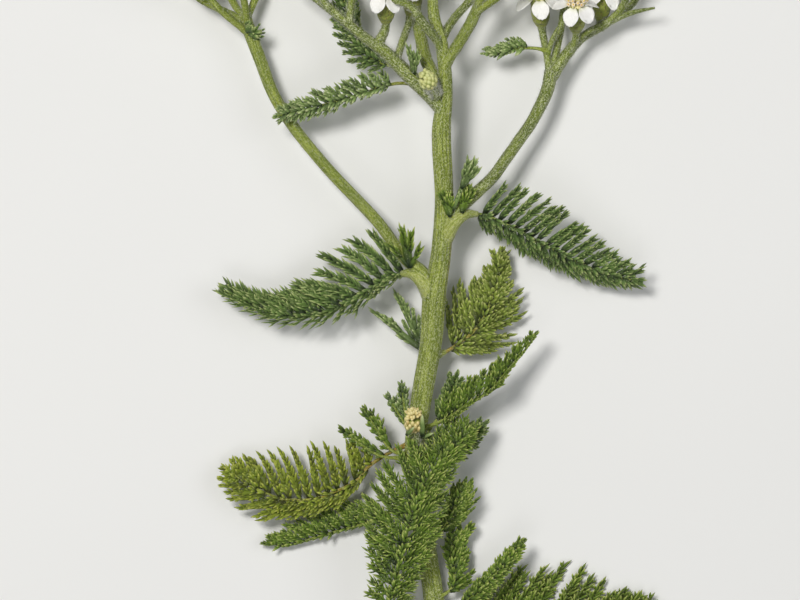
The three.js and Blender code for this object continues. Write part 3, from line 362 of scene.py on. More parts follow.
    def ray(self) -> Pattern:
        """Models a ray: a rounded blade with three low teeth at its end and two folds along it."""
        self.clear()
        bpy.ops.mesh.primitive_grid_add(x_subdivisions=7, y_subdivisions=6, size=2.0)
        work = bpy.context.active_object
        for corner in work.data.vertices:
            far, across = (corner.co.x + 1.0) / 2.0, corner.co.y
            outline = min(1.0, 0.35 + 1.2 * far**0.8) * (1.0 - 0.46 * far**6)
            reach = 1.0 - 0.13 * across**2 - 0.02 * (1.0 - math.cos(3.0 * math.pi * across))
            fold = 0.12 * math.cos(2.0 * math.pi * across) * math.sin(math.pi * min(1.0, 0.15 + far))
            corner.co = (far * reach, across * outline, 0.34 * outline * across**2 + 0.5 * fold)
        bpy.ops.object.modifier_add(type="SOLIDIFY")
        work.modifiers[-1].thickness = 0.12
        work.modifiers[-1].offset = 0.0
        bpy.ops.object.modifier_apply(modifier=work.modifiers[-1].name)
        return self.hand_over(work)


@dataclass(frozen=True)
class Patterns:
    """Every shape that is copied."""

    lobe: Pattern
    blade: Pattern
    scale: Pattern
    hair: Pattern
    rod: Pattern
    stem: Pattern
    ray: Pattern
    floret: Pattern
    anther: Pattern
    closed_floret: Pattern

    @classmethod
    def modelled(cls) -> "Patterns":
        """Models them all.

        Returns:
            The patterns.
        """
        bench = Bench()
        return cls(
            lobe=bench.tapered(5, 3, (0.6, 0.9, 1.0, 0.74)),
            blade=bench.tapered(5, 6, (0.6, 1.0, 1.0, 0.95, 0.85, 0.7, 0.5)),
            scale=bench.tapered(6, 4, (0.7, 0.95, 1.0, 0.9, 0.58)),
            hair=bench.tapered(3, 1, (1.0, 0.7)),
            rod=bench.hand_over(bench.rod(12, (7, 5))),
            stem=bench.hand_over(bench.rod(60, (15, 15))),
            ray=bench.ray(),
            floret=bench.floret(),
            anther=bench.tapered(5, 2, (0.8, 1.0, 1.0)),
            closed_floret=bench.tapered(6, 4, (0.6, 0.9, 1.0, 1.0, 0.7)),
        )


# ---- pieces


class Copy(NamedTuple):
    """One copy of a pattern: where it starts, its three directions and sizes, and its looks.

    bend lifts its far end along up and sway moves it along side, both as shares of the length.
    chance is a number of its own from 0 to 1, and tint is how far it has turned to the second
    colour of its finish.
    """

    origin: Array
    ahead: Array
    side: Array
    length: float
    half_width: float
    half_height: float
    bend: float = 0.0
    sway: float = 0.0
    chance: float = 0.5
    tint: float = 0.0


def pressed(points: Array) -> Array:
    """Lays flat on the table what would sink into it.

    Args:
        points: Places over the table, in millimetres.

    Returns:
        The same places, with none below the table and none changed above the press height.
    """
    depth = np.minimum(points[:, 2] / PRESS_HEIGHT - 1.0, 0.0)
    height = np.where(depth < 0.0, PRESS_HEIGHT * np.exp(depth), points[:, 2])
    return np.column_stack([points[:, :2], height])


def pointing(foot: Point, tip: Point, half_width: float) -> Copy:
    """Returns a flat copy that runs from a foot to a tip."""
    reach = spot(tip) - spot(foot)
    length = float(np.linalg.norm(reach))
    return Copy(spot(foot), unit(reach), unit(np.cross(UP, reach)), length, half_width, 0.14)


def felted(share: float) -> Field:
    """Returns a tone with the same share of wool all over."""
    return lambda x, angle: np.stack([0.0 * x, share + 0.0 * angle], axis=-1)


class Piece:
    """A mesh that is put together from copied patterns.

    Args:
        name: The finished object's name.
        finishes: Its materials.
    """

    def __init__(self, name: str, finishes: list[Material]) -> None:
        self.name = name
        self.finishes = finishes
        self._points: list[Array] = []
        self._triangles: list[Array] = []
        self._slots: list[Array] = []
        self._place: list[Array] = []
        self._tone: list[Array] = []
        self._count = 0

    def _add(
        self, points: Array, triangles: Array, finish: int, place: Array, tone: Array
    ) -> None:
        """Takes in the points and triangles of one or more copies."""
        self._points.append(points)
        self._triangles.append(triangles + self._count)
        self._slots.append(np.full(len(triangles), finish, dtype=np.int32))
        self._place.append(place)
        self._tone.append(tone)
        self._count += len(points)

    def stamp(self, pattern: Pattern, copies: list[Copy], finish: int) -> None:
        """Adds copies of a pattern, each bent to its own curve.

        Args:
            pattern: The shape.
            copies: Where it goes.
            finish: Index of the copies' material.
        """
        if not copies:
            return
        x, y, z = pattern.points.T
        origin, ahead, side = (np.array([getattr(c, k) for c in copies]) for k in ("origin", "ahead", "side"))
        up = np.cross(ahead, side)
        length, width, height, bend, sway, chance, tint = (
            np.array([getattr(c, k) for c in copies])[:, None]
            for k in ("length", "half_width", "half_height", "bend", "sway", "chance", "tint")
        )
        far = x * length
        out = y * width + sway * x**2 * length
        lift = z * height + bend * x**2 * length
        points = origin[:, None] + far[..., None] * ahead[:, None]
        points = points + out[..., None] * side[:, None] + lift[..., None] * up[:, None]
        ones = np.ones_like(far)
        place = np.stack([x * ones, y * ones, chance * ones], axis=-1)
        tone = np.stack([tint * ones, (0.5 - 0.5 * z) * ones, ones], axis=-1)
        offsets = np.arange(len(copies))[:, None, None] * len(x)
        triangles = (pattern.triangles[None] + offsets).reshape(-1, 3)
        self._add(points.reshape(-1, 3), triangles, finish, place.reshape(-1, 3), tone.reshape(-1, 3))

    def sweep(
        self,
        pattern: Pattern,
        stations: list[Station],
        finish: int,
        relief: Field | None = None,
        tone: Field | None = None,
    ) -> None:
        """Bends a rod to a row of cross-sections.

        Args:
            pattern: The rod.
            stations: The cross-sections.
            finish: Index of the material.
            relief: Gives the share of the radius at places along the rod and angles round it.
            tone: Gives tint and wool, as two columns, at the same places.
        """
        x, y, z = pattern.points.T
        shares = np.linspace(0.0, 1.0, len(stations))
        fields = [np.array([getattr(s, k) for s in stations]) for k in ("centre", "side", "over")]
        centre, side, over = (
            np.stack([np.interp(x, shares, values[:, k]) for k in range(3)], axis=-1) for values in fields
        )
        width = np.interp(x, shares, [s.half_width for s in stations])
        height = np.interp(x, shares, [s.half_height for s in stations])
        angle = np.arctan2(z, y)
        rel = relief(x, angle) if relief else np.ones_like(x)
        points = centre + side * (y * rel * width)[:, None] + over * (z * rel * height)[:, None]
        steps = np.linalg.norm(np.diff(fields[0], axis=0), axis=1).sum()
        place = np.stack([y * width, z * height, x * steps], axis=-1)
        tones = np.zeros((len(x), 3))
        if tone:
            tones[:, :2] = tone(x, angle)
        self._add(points, pattern.triangles, finish, place, tones)

    def build(self, nodes: tuple[str, ...], slot: str) -> Object:
        """Makes the object and lets it stand for its solids.

        Args:
            nodes: Names of the solids that it replaces.
            slot: Material slot of the record; not used.

        Returns:
            The object.
        """
        points = (pressed(np.concatenate(self._points)) - FOOTPRINT_CENTRE) * METRE
        triangles = np.concatenate(self._triangles)
        mesh = bpy.data.meshes.new(self.name)
        mesh.vertices.add(len(points))
        mesh.vertices.foreach_set("co", points.ravel())
        mesh.loops.add(triangles.size)
        mesh.loops.foreach_set("vertex_index", triangles.ravel())
        mesh.polygons.add(len(triangles))
        mesh.polygons.foreach_set("loop_start", np.arange(0, triangles.size, 3, dtype=np.int32))
        mesh.polygons.foreach_set("material_index", np.concatenate(self._slots))
        mesh.polygons.foreach_set("use_smooth", np.ones(len(triangles), dtype=bool))
        for name, values in (("place", self._place), ("tone", self._tone)):
            layer = mesh.attributes.new(name, "FLOAT_VECTOR", "POINT")
            layer.data.foreach_set("vector", np.concatenate(values).ravel())
        mesh.update(calc_edges=True)
        for finish in self.finishes:
            mesh.materials.append(finish)
        made = bpy.data.objects.new(self.name, mesh)
        bpy.context.scene.collection.objects.link(made)
        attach(made, BODY)
        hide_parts(*nodes)
        log.info("%s: %d triangles, stands for %s", self.name, len(triangles), ", ".join(nodes))
        return made


# ---- finishes


class SharedEffect(Enum):
    """The effects that more than one finish uses."""

    SPECKLE = "fine hair speckle"
    MOTTLE = "soft mottle"
    GRAIN = "tissue grain"


class Wiring:
    """Adds and joins nodes in one material or node group.

    Args:
        tree: The node tree.
    """

    def __init__(self, tree: NodeTree) -> None:
        self.tree = tree

    def node(self, kind: str, settings: dict[str, object] | None = None, **inputs: object) -> bpy.types.Node:
        """Adds a node.

        Args:
            kind: Its type, without the word ShaderNode.
            settings: Properties by name.
            **inputs: Values or sockets by the input's name, with _ for a space, or i and its number.

        Returns:
            The node.
        """
        made = self.tree.nodes.new("ShaderNode" + kind)
        for name, value in (settings or {}).items():
            setattr(made, name, value)
        for name, value in inputs.items():
            key = int(name[1:]) if name[0] == "i" and name[1:].isdigit() else name.replace("_", " ")
            if isinstance(value, Socket):
                self.tree.links.new(value, made.inputs[key])
            else:
                made.inputs[key].default_value = value
        return made

    def reckon(self, operation: str, first: object, second: object = 0.0) -> Socket:
        """Returns the result of a Math node."""
        return self.node("Math", {"operation": operation}, i0=first, i1=second).outputs[0]

    def times(self, first: object, second: object) -> Socket:
        """Returns a product."""
        return self.reckon("MULTIPLY", first, second)

    def plus(self, first: object, second: object) -> Socket:
        """Returns a sum."""
        return self.reckon("ADD", first, second)

    def mix(self, share: object, *colours: object) -> Socket:
        """Returns a mix of two colours, each a socket or display values of 0 to 255."""
        first, second = (paint(*colour) if isinstance(colour, tuple) else colour for colour in colours)
        return self.node("Mix", {"data_type": "RGBA"}, i0=share, i6=first, i7=second).outputs[2]

    def ramp(self, value: object, low: float, high: float, start: float = 0.0, end: float = 1.0) -> Socket:
        """Returns a value's smooth passage from start at low to end at high."""
        settings = {"interpolation_type": "SMOOTHSTEP"}
        return self.node("MapRange", settings, i0=value, i1=low, i2=high, i3=start, i4=end).outputs[0]

    def noise(self, vector: Socket, scale: object, detail: float = 2.0, roughness: float = 0.5) -> Socket:
        """Returns a noise value."""
        inputs = {"Vector": vector, "Scale": scale, "Detail": detail, "Roughness": roughness}
        return self.node("TexNoise", None, **inputs).outputs["Fac"]


class Effects:
    """Builds each shared effect once, as a node group."""

    SOCKETS = (
        ("Vector", "INPUT", "NodeSocketVector"),
        ("Scale", "INPUT", "NodeSocketFloat"),
        ("Amount", "INPUT", "NodeSocketFloat"),
        ("Value", "OUTPUT", "NodeSocketFloat"),
    )

    def __init__(self) -> None:
        self._groups: dict[SharedEffect, NodeTree] = {}

    def _build(self, effect: SharedEffect) -> NodeTree:
        """Builds the nodes of one effect."""
        group = bpy.data.node_groups.new(effect.value, "ShaderNodeTree")
        for name, way, kind in self.SOCKETS:
            group.interface.new_socket(name=name, in_out=way, socket_type=kind)
        w = Wiring(group)
        vector, scale, amount = list(group.nodes.new("NodeGroupInput").outputs)[:3]
        if effect is SharedEffect.SPECKLE:
            cells = w.node("TexVoronoi", {"feature": "F1"}, Vector=vector, Scale=scale).outputs["Distance"]
            patches = w.noise(vector, w.times(scale, 0.14))
            value = w.times(w.ramp(cells, 0.16, 0.34, 1.0, 0.0), w.ramp(patches, 0.35, 0.65))
        elif effect is SharedEffect.MOTTLE:
            value = w.ramp(w.noise(vector, scale, 3.0, 0.6), 0.32, 0.68)
        else:
            value = w.noise(vector, scale, 3.0, 0.65)
        group.links.new(w.times(value, amount), group.nodes.new("NodeGroupOutput").inputs[0])
        return group

    def group(self, effect: SharedEffect) -> NodeTree:
        """Returns the node group of an effect."""
        if effect not in self._groups:
            self._groups[effect] = self._build(effect)
        return self._groups[effect]


class Coat(Wiring):
    """The wiring of one material, in the object's own space.

    Args:
        name: The material's name.
        effects: The shared effects.
    """

    def __init__(self, name: str, effects: Effects) -> None:
        self.material = bpy.data.materials.new(name)
        self.material.use_nodes = True
        self.material.node_tree.nodes.clear()
        super().__init__(self.material.node_tree)
        self.effects = effects
        self.where = self.node("TexCoord").outputs["Object"]

    def shared(self, effect: SharedEffect, scale: float, amount: float) -> Socket:
        """Returns the value of a shared effect at a scale and a strength."""
        inputs = {"Vector": self.where, "Scale": scale, "Amount": amount}
        return self.node("Group", {"node_tree": self.effects.group(effect)}, **inputs).outputs[0]

    def _attribute(self, name: str) -> Socket:
        """Returns a stored vector of the surface."""
        return self.node("Attribute", {"attribute_name": name}).outputs["Vector"]

    def stored(self, name: str) -> list[Socket]:
        """Returns the three parts of a stored vector of the surface."""
        return list(self.node("SeparateXYZ", None, i0=self._attribute(name)).outputs)

    def drawn_out(self, stretch: Point, scale: float, detail: float) -> Socket:
        """Returns a noise value that is stretched along a rod."""
        place = self.node("Mapping", None, Vector=self._attribute("place"), Scale=stretch).outputs[0]
        return self.noise(place, scale, detail)

    def bump(self, height: Socket, depth: float) -> Socket:
        """Returns the surface's normal over a height, where 1 stands for a depth in metres."""
        return self.node("Bump", None, Strength=1.0, Distance=depth, Height=height).outputs[0]

    def finished(self, colour: Socket, roughness: object, **inputs: object) -> Material:
        """Adds the surface shader and hands over the material.

        Args:
            colour: Its colour.
            roughness: Its roughness.
            **inputs: More inputs of the shader, by name.

        Returns:
            The material.
        """
        shader = self.node("BsdfPrincipled", None, Base_Color=colour, Roughness=roughness, **inputs)
        self.node("OutputMaterial", None, Surface=shader.outputs[0])
        return self.material


@dataclass(frozen=True)
class Finish:
    """A finish with the name of its material; its kinds wire the nodes."""

    name: str

    def material(self, effects: Effects) -> Material:
        """Returns the material."""
        return self.wired(Coat(self.name, effects))


@dataclass(frozen=True)
class LeafFinish(Finish):
    """Leaf tissue: green with paler midlines and tips, greyer under, with fine pale hairs.
    The lobes' feet carry a painted shade, and the pale tips a painted highlight.
    """

    slot: str
    # deep is the painted shade at the lobes' feet, near the rib; tip is the pale tip, lightened further as a
    # painted highlight.
    deep: Colour
    light: Colour
    tip: Colour
    turned: Colour
    under: Colour
    hair: Colour = (206, 210, 160)
    speckle: float = 0.34

    def wired(self, w: Coat) -> Material:
        """Returns the material."""
        far, across, chance = w.stored("place")
        tint, below, _ = w.stored("tone")
        mottle = w.shared(SharedEffect.MOTTLE, 420.0, 0.6)
        # Painted shade: each lobe turns from the deep colour at its foot, where dense foliage would shade it,
        # to the green further out, where random mottle mixes the two.
        share = w.plus(w.times(mottle, 0.5), w.times(chance, 0.35))
        share = w.plus(w.times(share, w.ramp(far, 0.0, 0.3)), w.ramp(far, 0.1, 0.9, 0.0, 0.52))
        colour = w.mix(share, self.deep, self.light)
        colour = w.mix(w.ramp(w.reckon("ABSOLUTE", across), 0.5, 1.0, 0.0, 0.3), colour, self.light)
        colour = w.mix(w.ramp(below, 0.55, 0.9, 0.0, 0.75), colour, self.under)
        # Pale tips: partly the leaf's own colour and partly a painted highlight.
        colour = w.mix(w.times(w.ramp(far, 0.5, 1.0), w.ramp(chance, 0.0, 1.0, 0.25, 1.0)), colour, self.tip)
        colour = w.mix(w.times(tint, w.ramp(w.noise(w.where, 900.0), 0.3, 0.62)), colour, self.turned)
        colour = w.mix(w.shared(SharedEffect.SPECKLE, 3400.0, self.speckle), colour, self.hair)
        normal = w.bump(w.shared(SharedEffect.GRAIN, 5200.0, 1.0), 0.00012)
        rough = w.ramp(mottle, 0.0, 0.6, 0.42, 0.6)
        return w.finished(colour, rough, Normal=normal, Specular_IOR_Level=0.42, Sheen_Weight=0.04)


@dataclass(frozen=True)
class StemFinish(Finish):
    """Ribbed green stem with pale streaks, greyish wool and a reddish blush."""

    green: Colour
    pale: Colour
    wool: Colour
    blush: Colour
    deep: Colour = (70, 84, 24)

    def wired(self, w: Coat) -> Material:
        """Returns the material."""
        red, woolly, _ = w.stored("tone")
        streak = w.ramp(w.drawn_out((2.6, 2.6, 0.16), 1.4, 4.0), 0.36, 0.64)
        felt = w.drawn_out((7.0, 7.0, 2.4), 1.6, 3.0)
        nap = w.drawn_out((1.0, 1.0, 0.55), 6.6, 2.0)
        colour = w.mix(streak, self.green, self.pale)
        colour = w.mix(w.shared(SharedEffect.MOTTLE, 260.0, 0.45), colour, self.green)
        colour = w.mix(w.times(red, w.ramp(felt, 0.35, 0.7)), colour, self.blush)
        colour = w.mix(w.ramp(nap, 0.5, 0.36, 0.0, 0.42), colour, self.deep)
        tufted = w.times(w.ramp(nap, 0.5, 0.64), w.ramp(woolly, 0.0, 1.0, 0.2, 0.9))
        colour = w.mix(tufted, colour, self.wool)
        normal = w.bump(w.plus(w.times(nap, 0.7), w.times(streak, 0.3)), 0.00014)
        rough = w.ramp(felt, 0.3, 0.7, 0.5, 0.75)
        return w.finished(colour, rough, Normal=normal, Specular_IOR_Level=0.3, Sheen_Weight=0.1)


@dataclass(frozen=True)
class HairFinish(Finish):
    """White woolly hairs."""

    root: Colour
    end: Colour

    def wired(self, w: Coat) -> Material:
        """Returns the material."""
        far, _, chance = w.stored("place")
        mottle = w.shared(SharedEffect.MOTTLE, 600.0, 0.3)
        colour = w.mix(w.plus(w.times(far, 0.7), mottle), self.root, self.end)
        return w.finished(colour, w.ramp(chance, 0.0, 1.0, 0.35, 0.6), Sheen_Weight=0.3)


@dataclass(frozen=True)
class ScaleFinish(Finish):
    """Scales of a cup: olive green with a pale middle and thin tan edges."""

    green: Colour
    middle: Colour
    edge: Colour
    hair: Colour = (226, 214, 150)

    def wired(self, w: Coat) -> Material:
        """Returns the material."""
        far, across, chance = w.stored("place")
        share = w.plus(w.shared(SharedEffect.MOTTLE, 700.0, 0.5), w.times(chance, 0.4))
        colour = w.mix(share, self.green, self.middle)
        sides = w.ramp(w.reckon("ABSOLUTE", across), 0.62, 0.95)
        rim = w.reckon("MAXIMUM", sides, w.ramp(far, 0.82, 1.0))
        colour = w.mix(w.times(rim, 0.55), colour, self.edge)
        colour = w.mix(w.shared(SharedEffect.SPECKLE, 4600.0, 0.55), colour, self.hair)
        normal = w.bump(w.shared(SharedEffect.GRAIN, 6000.0, 1.0), 0.00007)
        return w.finished(colour, w.ramp(share, 0.0, 0.9, 0.45, 0.65), Normal=normal, Sheen_Weight=0.2)


@dataclass(frozen=True)
class RayFinish(Finish):
    """White rays with faint veins and a creamy foot."""

    white: Colour
    shade: Colour
    foot: Colour

    def wired(self, w: Coat) -> Material:
        """Returns the material."""
        far, across, chance = w.stored("place")
        veins = w.reckon("SINE", w.times(w.plus(across, chance), 34.0))
        crumple = w.shared(SharedEffect.MOTTLE, 1100.0, 1.0)
        colour = w.mix(w.times(crumple, 0.28), self.white, self.shade)
        colour = w.mix(w.ramp(far, 0.0, 0.3, 0.75, 0.0), colour, self.foot)
        normal = w.bump(w.plus(w.times(veins, 0.25), w.times(crumple, 0.75)), 0.00006)
        return w.finished(colour, w.ramp(crumple, 0.0, 1.0, 0.5, 0.7), Normal=normal, Specular_IOR_Level=0.25)


@dataclass(frozen=True)
class FloretFinish(Finish):
    """Disc florets: one colour at the foot, one at the mouth, and a tint that some have."""

    foot: Colour
    mouth: Colour
    tinge: Colour

    def wired(self, w: Coat) -> Material:
        """Returns the material."""
        far, _, chance = w.stored("place")
        tint, _, _ = w.stored("tone")
        mottle = w.shared(SharedEffect.MOTTLE, 2200.0, 0.5)
        colour = w.mix(w.ramp(far, 0.15, 0.95), self.foot, self.mouth)
        colour = w.mix(w.times(mottle, chance), colour, self.tinge)
        colour = w.mix(tint, colour, self.tinge)
        normal = w.bump(w.shared(SharedEffect.GRAIN, 7000.0, 1.0), 0.00005)
        return w.finished(colour, w.ramp(mottle, 0.0, 0.5, 0.45, 0.65), Normal=normal, Sheen_Weight=0.1)


@dataclass(frozen=True)
class TableFinish(Finish):
    """The pale table."""

    pale: Colour
    shade: Colour

    def wired(self, w: Coat) -> Material:
        """Returns the material."""
        colour = w.mix(w.shared(SharedEffect.MOTTLE, 6.0, 0.3), self.pale, self.shade)
        return w.finished(colour, 0.85, Specular_IOR_Level=0.2)


class Tone(Enum):
    """Colours of leaf, each with its finish."""

    # After the slot: painted shade at the lobes' feet, green, pale tip with painted highlight, turned colour,
    # underside.
    DARK = LeafFinish(
        "dark leaf", "dark_leaves", (12, 28, 6), (108, 138, 64), (196, 204, 136), (150, 126, 60),
        (100, 118, 60),
    )
    GREY = LeafFinish(
        "grey leaf", "dark_leaves", (24, 42, 12), (134, 160, 86), (212, 218, 164), (150, 126, 60),
        (112, 128, 72),
    )
    GREEN = LeafFinish(
        "green leaf", "green_leaves", (18, 36, 0), (112, 142, 38), (200, 206, 118), (150, 126, 54),
        (110, 126, 58),
    )
    OLIVE = LeafFinish(
        "olive leaf", "olive_leaves", (32, 46, 2), (140, 162, 58), (212, 214, 136), (150, 122, 40),
        (112, 126, 54),
    )
    PALE = LeafFinish(
        "pale leaf", "pale_leaves", (34, 50, 0), (136, 156, 36), (202, 204, 100), (158, 112, 40),
        (118, 132, 48),
    )


class Wardrobe:
    """Every finish of the plant, as materials."""

    def __init__(self) -> None:
        effects = Effects()
        self.leaf = {tone: tone.value.material(effects) for tone in Tone}
        stems = (
            StemFinish("main stem", (104, 118, 36), (156, 168, 72), (206, 210, 164), (140, 80, 50)),
            StemFinish(
                "woolly branch", (92, 106, 36), (140, 154, 66), (204, 208, 168), (130, 90, 68), (60, 72, 30)
            ),
            StemFinish("midrib", (104, 122, 34), (150, 162, 68), (196, 200, 142), (170, 96, 36)),
            StemFinish(
                "knuckle", (138, 150, 62), (178, 184, 104), (218, 220, 178), (170, 96, 36), (96, 108, 44)
            ),
        )
        self.stem, self.branch, self.rib, self.knuckle = (finish.material(effects) for finish in stems)
        florets = (
            FloretFinish("cream floret", (222, 218, 160), (252, 240, 214), (238, 200, 176)),
            FloretFinish("golden anther", (244, 206, 84), (252, 226, 112), (228, 176, 90)),
            FloretFinish("closed floret", (178, 178, 100), (240, 232, 168), (206, 162, 98)),
            FloretFinish("young floret", (142, 156, 70), (214, 218, 150), (190, 178, 100)),
        )
        self.corolla, self.anther, self.closed, self.young = (finish.material(effects) for finish in florets)
        self.hair = HairFinish("white wool", (172, 176, 150), (230, 230, 220)).material(effects)
        scale = ScaleFinish("cup scale", (104, 116, 38), (150, 158, 70), (164, 146, 78))
        self.scale = scale.material(effects)
        self.ray = RayFinish("white ray", (253, 252, 248), (226, 226, 220), (232, 234, 204)).material(effects)
        self.table = TableFinish("pale table", (232, 232, 230), (226, 226, 224)).material(effects)


@dataclass(frozen=True)
class Workshop:
    """What every sub-assembly is made with."""

    patterns: Patterns
    wardrobe: Wardrobe


# ---- hairs


@dataclass(frozen=True)
class Wool:
    """The hairs on a stretch of stem: how many for each square millimetre, and their size."""

    density: float = 7.0
    shortest: float = 0.25
    longest: float = 0.75
    half_width: float = 0.02

    def grow(self, stations: list[Station], seed: int) -> list[Copy]:
        """Spreads hairs over a swept form.

        Args:
            stations: The form's cross-sections.
            seed: Start of the random numbers.

        Returns:
            The hairs.
        """
        rng = Random(seed)
        hairs: list[Copy] = []
        for a, b in zip(stations, stations[1:]):
            area = 2 * math.pi * a.half_width * float(np.linalg.norm(b.centre - a.centre))
            count = int(area * self.density + rng.random())
            for _ in range(count):
                hairs.append(self._hair(a, b, rng))
        return hairs

    def _hair(self, a: Station, b: Station, rng: Random) -> Copy:
        """Returns one hair between two cross-sections."""
        share, angle = rng.random(), rng.uniform(0, 2 * math.pi)
        out = unit(swung(a.side, a.over, angle))
        reach = 0.97 * (a.half_width + (b.half_width - a.half_width) * share)
        root = a.centre + (b.centre - a.centre) * share + out * reach
        around = np.cross(a.ahead, out)
        lean = rng.uniform(0.25, 1.25)
        spin = rng.uniform(-1.0, 1.0)
        ahead = unit(swung(out, unit(swung(a.ahead, around, spin)), lean))
        side = unit(np.cross(out, ahead) + 1e-6)
        length = rng.uniform(self.shortest, self.longest)
        bend, sway = rng.uniform(-0.5, 0.5), rng.uniform(-0.5, 0.5)
        return Copy(root, ahead, side, length, self.half_width, self.half_width, bend, sway, rng.random())


# ---- leaves


@dataclass(frozen=True)
class Leaflet:
    """The plan of a leaflet: a narrow blade with pointed lobes on both sides.

    thickness is half the blade's, gap is the distance between two lobes of a side, and angle is
    a lobe's lean from the blade, in degrees, from the foot to the tip. outline is the reach of
    the lobes from the foot to the tip. A lobe longer than tooth_from has a tooth, and crest is
    the share of the lobes that have one more on the upper face. bare is the share of the blade
    under its first lobe.
    """

    thickness: float = 0.11
    gap: float = 0.8
    angle: tuple[float, ...] = (36.0, 31.0, 27.0, 22.0)
    outline: tuple[float, ...] = (1.15, 1.1, 0.95, 0.78, 0.6, 0.42)
    tooth_from: float = 1.3
    lobe_width: float = 0.2
    blade_width: float = 0.34
    crest: float = 0.5
    bare: float = 0.02

    def grow(self, rng: Random, base: Copy, reach: float) -> Iterator[tuple[bool, Copy]]:
        """Makes one leaflet.

        Args:
            rng: The random numbers.
            base: Place, directions, length, bend and looks of the blade.
            reach: Half width of the leaflet with its lobes.

        Yields:
            Whether the copy is a blade, and the copy.
        """
        up = np.cross(base.ahead, base.side)
        width = min(self.blade_width, 0.24 * base.length)
        yield True, base._replace(half_width=width, half_height=self.thickness)
        count = max(1, round(base.length / self.gap))
        step = 0.86 * base.length / count
        for index in range(count):
            share = self.bare + (0.88 - self.bare) * (index + 0.3) / count
            for side in (1.0, -1.0):
                yield from self._lobe(rng, base, up, min(0.9, share + 0.02 * side), side, reach, step)
            if rng.random() < self.crest:
                yield False, self._crest(rng, base, up, share, reach)
        root, ahead = self._on_blade(base, up, 0.84)
        length = max(0.6, 0.22 * base.length)
        yield False, base._replace(
            origin=root,
            ahead=ahead,
            side=square_to(base.side, ahead),
            length=length,
            half_width=min(self.lobe_width, 0.3 * length),
            half_height=self.thickness,
            bend=rng.uniform(-0.1, 0.2),
        )

    def _on_blade(self, base: Copy, up: Array, share: float) -> tuple[Array, Array]:
        """Returns the place and the direction at a share of the blade."""
        aside = base.side * base.sway + up * base.bend
        root = base.origin + base.ahead * (share * base.length) + aside * (share**2 * base.length)
        return root, unit(base.ahead + aside * (2 * share))

    def _crest(self, rng: Random, base: Copy, up: Array, share: float, reach: float) -> Copy:
        """Returns a lobe that rises from the blade's upper face."""
        root, ahead = self._on_blade(base, up, share)
        out = unit(ahead + up * rng.uniform(0.35, 0.8) + base.side * rng.uniform(-0.6, 0.6))
        length = max(0.5, 0.9 * along(self.outline, share) * reach * rng.uniform(0.8, 1.1))
        return base._replace(
            origin=root,
            ahead=out,
            side=unit(np.cross(up, out)),
            length=length,
            half_width=min(self.lobe_width, 0.26 * length),
            half_height=self.thickness,
            bend=rng.uniform(-0.3, 0.0),
            sway=rng.uniform(-0.1, 0.1),
            chance=rng.random(),
        )

    def _lobe(
        self, rng: Random, base: Copy, up: Array, share: float, side: float, reach: float, step: float
    ) -> Iterator[tuple[bool, Copy]]:
        """Makes one lobe and, where it is long enough, its tooth.

        Args:
            rng: The random numbers.
            base: The blade.
            up: The way that the blade faces.
            share: Place on the blade.
            side: 1 or -1.
            reach: Half width of the leaflet.
            step: Distance to the next lobe.

        Yields:
            False, and the copy.
        """
        root, ahead = self._on_blade(base, up, share)
        lean = math.radians(along(self.angle, share) + rng.uniform(-5, 5))
        across = square_to(base.side, ahead)
        normal = np.cross(ahead, across)
        out = ahead * math.cos(lean) + across * (side * math.sin(lean))
        out = unit(out + normal * rng.uniform(-0.16, 0.34))
        length = along(self.outline, share) * reach * rng.uniform(0.85, 1.15) / math.sin(lean)
        length = min(length, 3.2 * step + 0.35)
        width = min(self.lobe_width * rng.uniform(0.9, 1.1), 0.26 * length)
        lobe = base._replace(
            origin=root,
            ahead=out,
            side=unit(np.cross(normal, out)),
            length=length,
            half_width=width,
            half_height=self.thickness,
            bend=rng.uniform(-0.04, 0.22),
            sway=-side * rng.uniform(0.0, 0.22),
            chance=rng.random(),
        )
        yield False, lobe
        if length > self.tooth_from:
            turn = math.radians(rng.uniform(26, 36)) * side
            tooth = unit(swung(out, lobe.side, turn))
            yield False, lobe._replace(
                origin=root + out * (0.42 * length),
                ahead=tooth,
                side=unit(np.cross(normal, tooth)),
                length=0.5 * length,
                half_width=0.8 * width,
                chance=rng.random(),
            )


@dataclass
class Foliage:
    """The blades and the lobes of a leaf or a tuft."""

    blades: list[Copy] = field(default_factory=list)
    lobes: list[Copy] = field(default_factory=list)

    def take(self, grown: Iterator[tuple[bool, Copy]]) -> None:
        """Sorts the copies of a leaflet."""
        for is_blade, copy in grown:
            (self.blades if is_blade else self.lobes).append(copy)

    def stamp(self, piece: Piece, patterns: Patterns, finish: int) -> None:
        """Adds them to a piece."""
        piece.stamp(patterns.blade, self.blades, finish)
        piece.stamp(patterns.lobe, self.lobes, finish)


@dataclass(frozen=True)
class Side:
    """The leaflets on one side of a leaf, from its foot to its tip.

    leans are in degrees from the midrib, and sag is how far a leaflet's tip hangs, as a share of
    its length.
    """

    lengths: tuple[float, ...]
    leans: tuple[float, ...]
    sag: float = 0.08


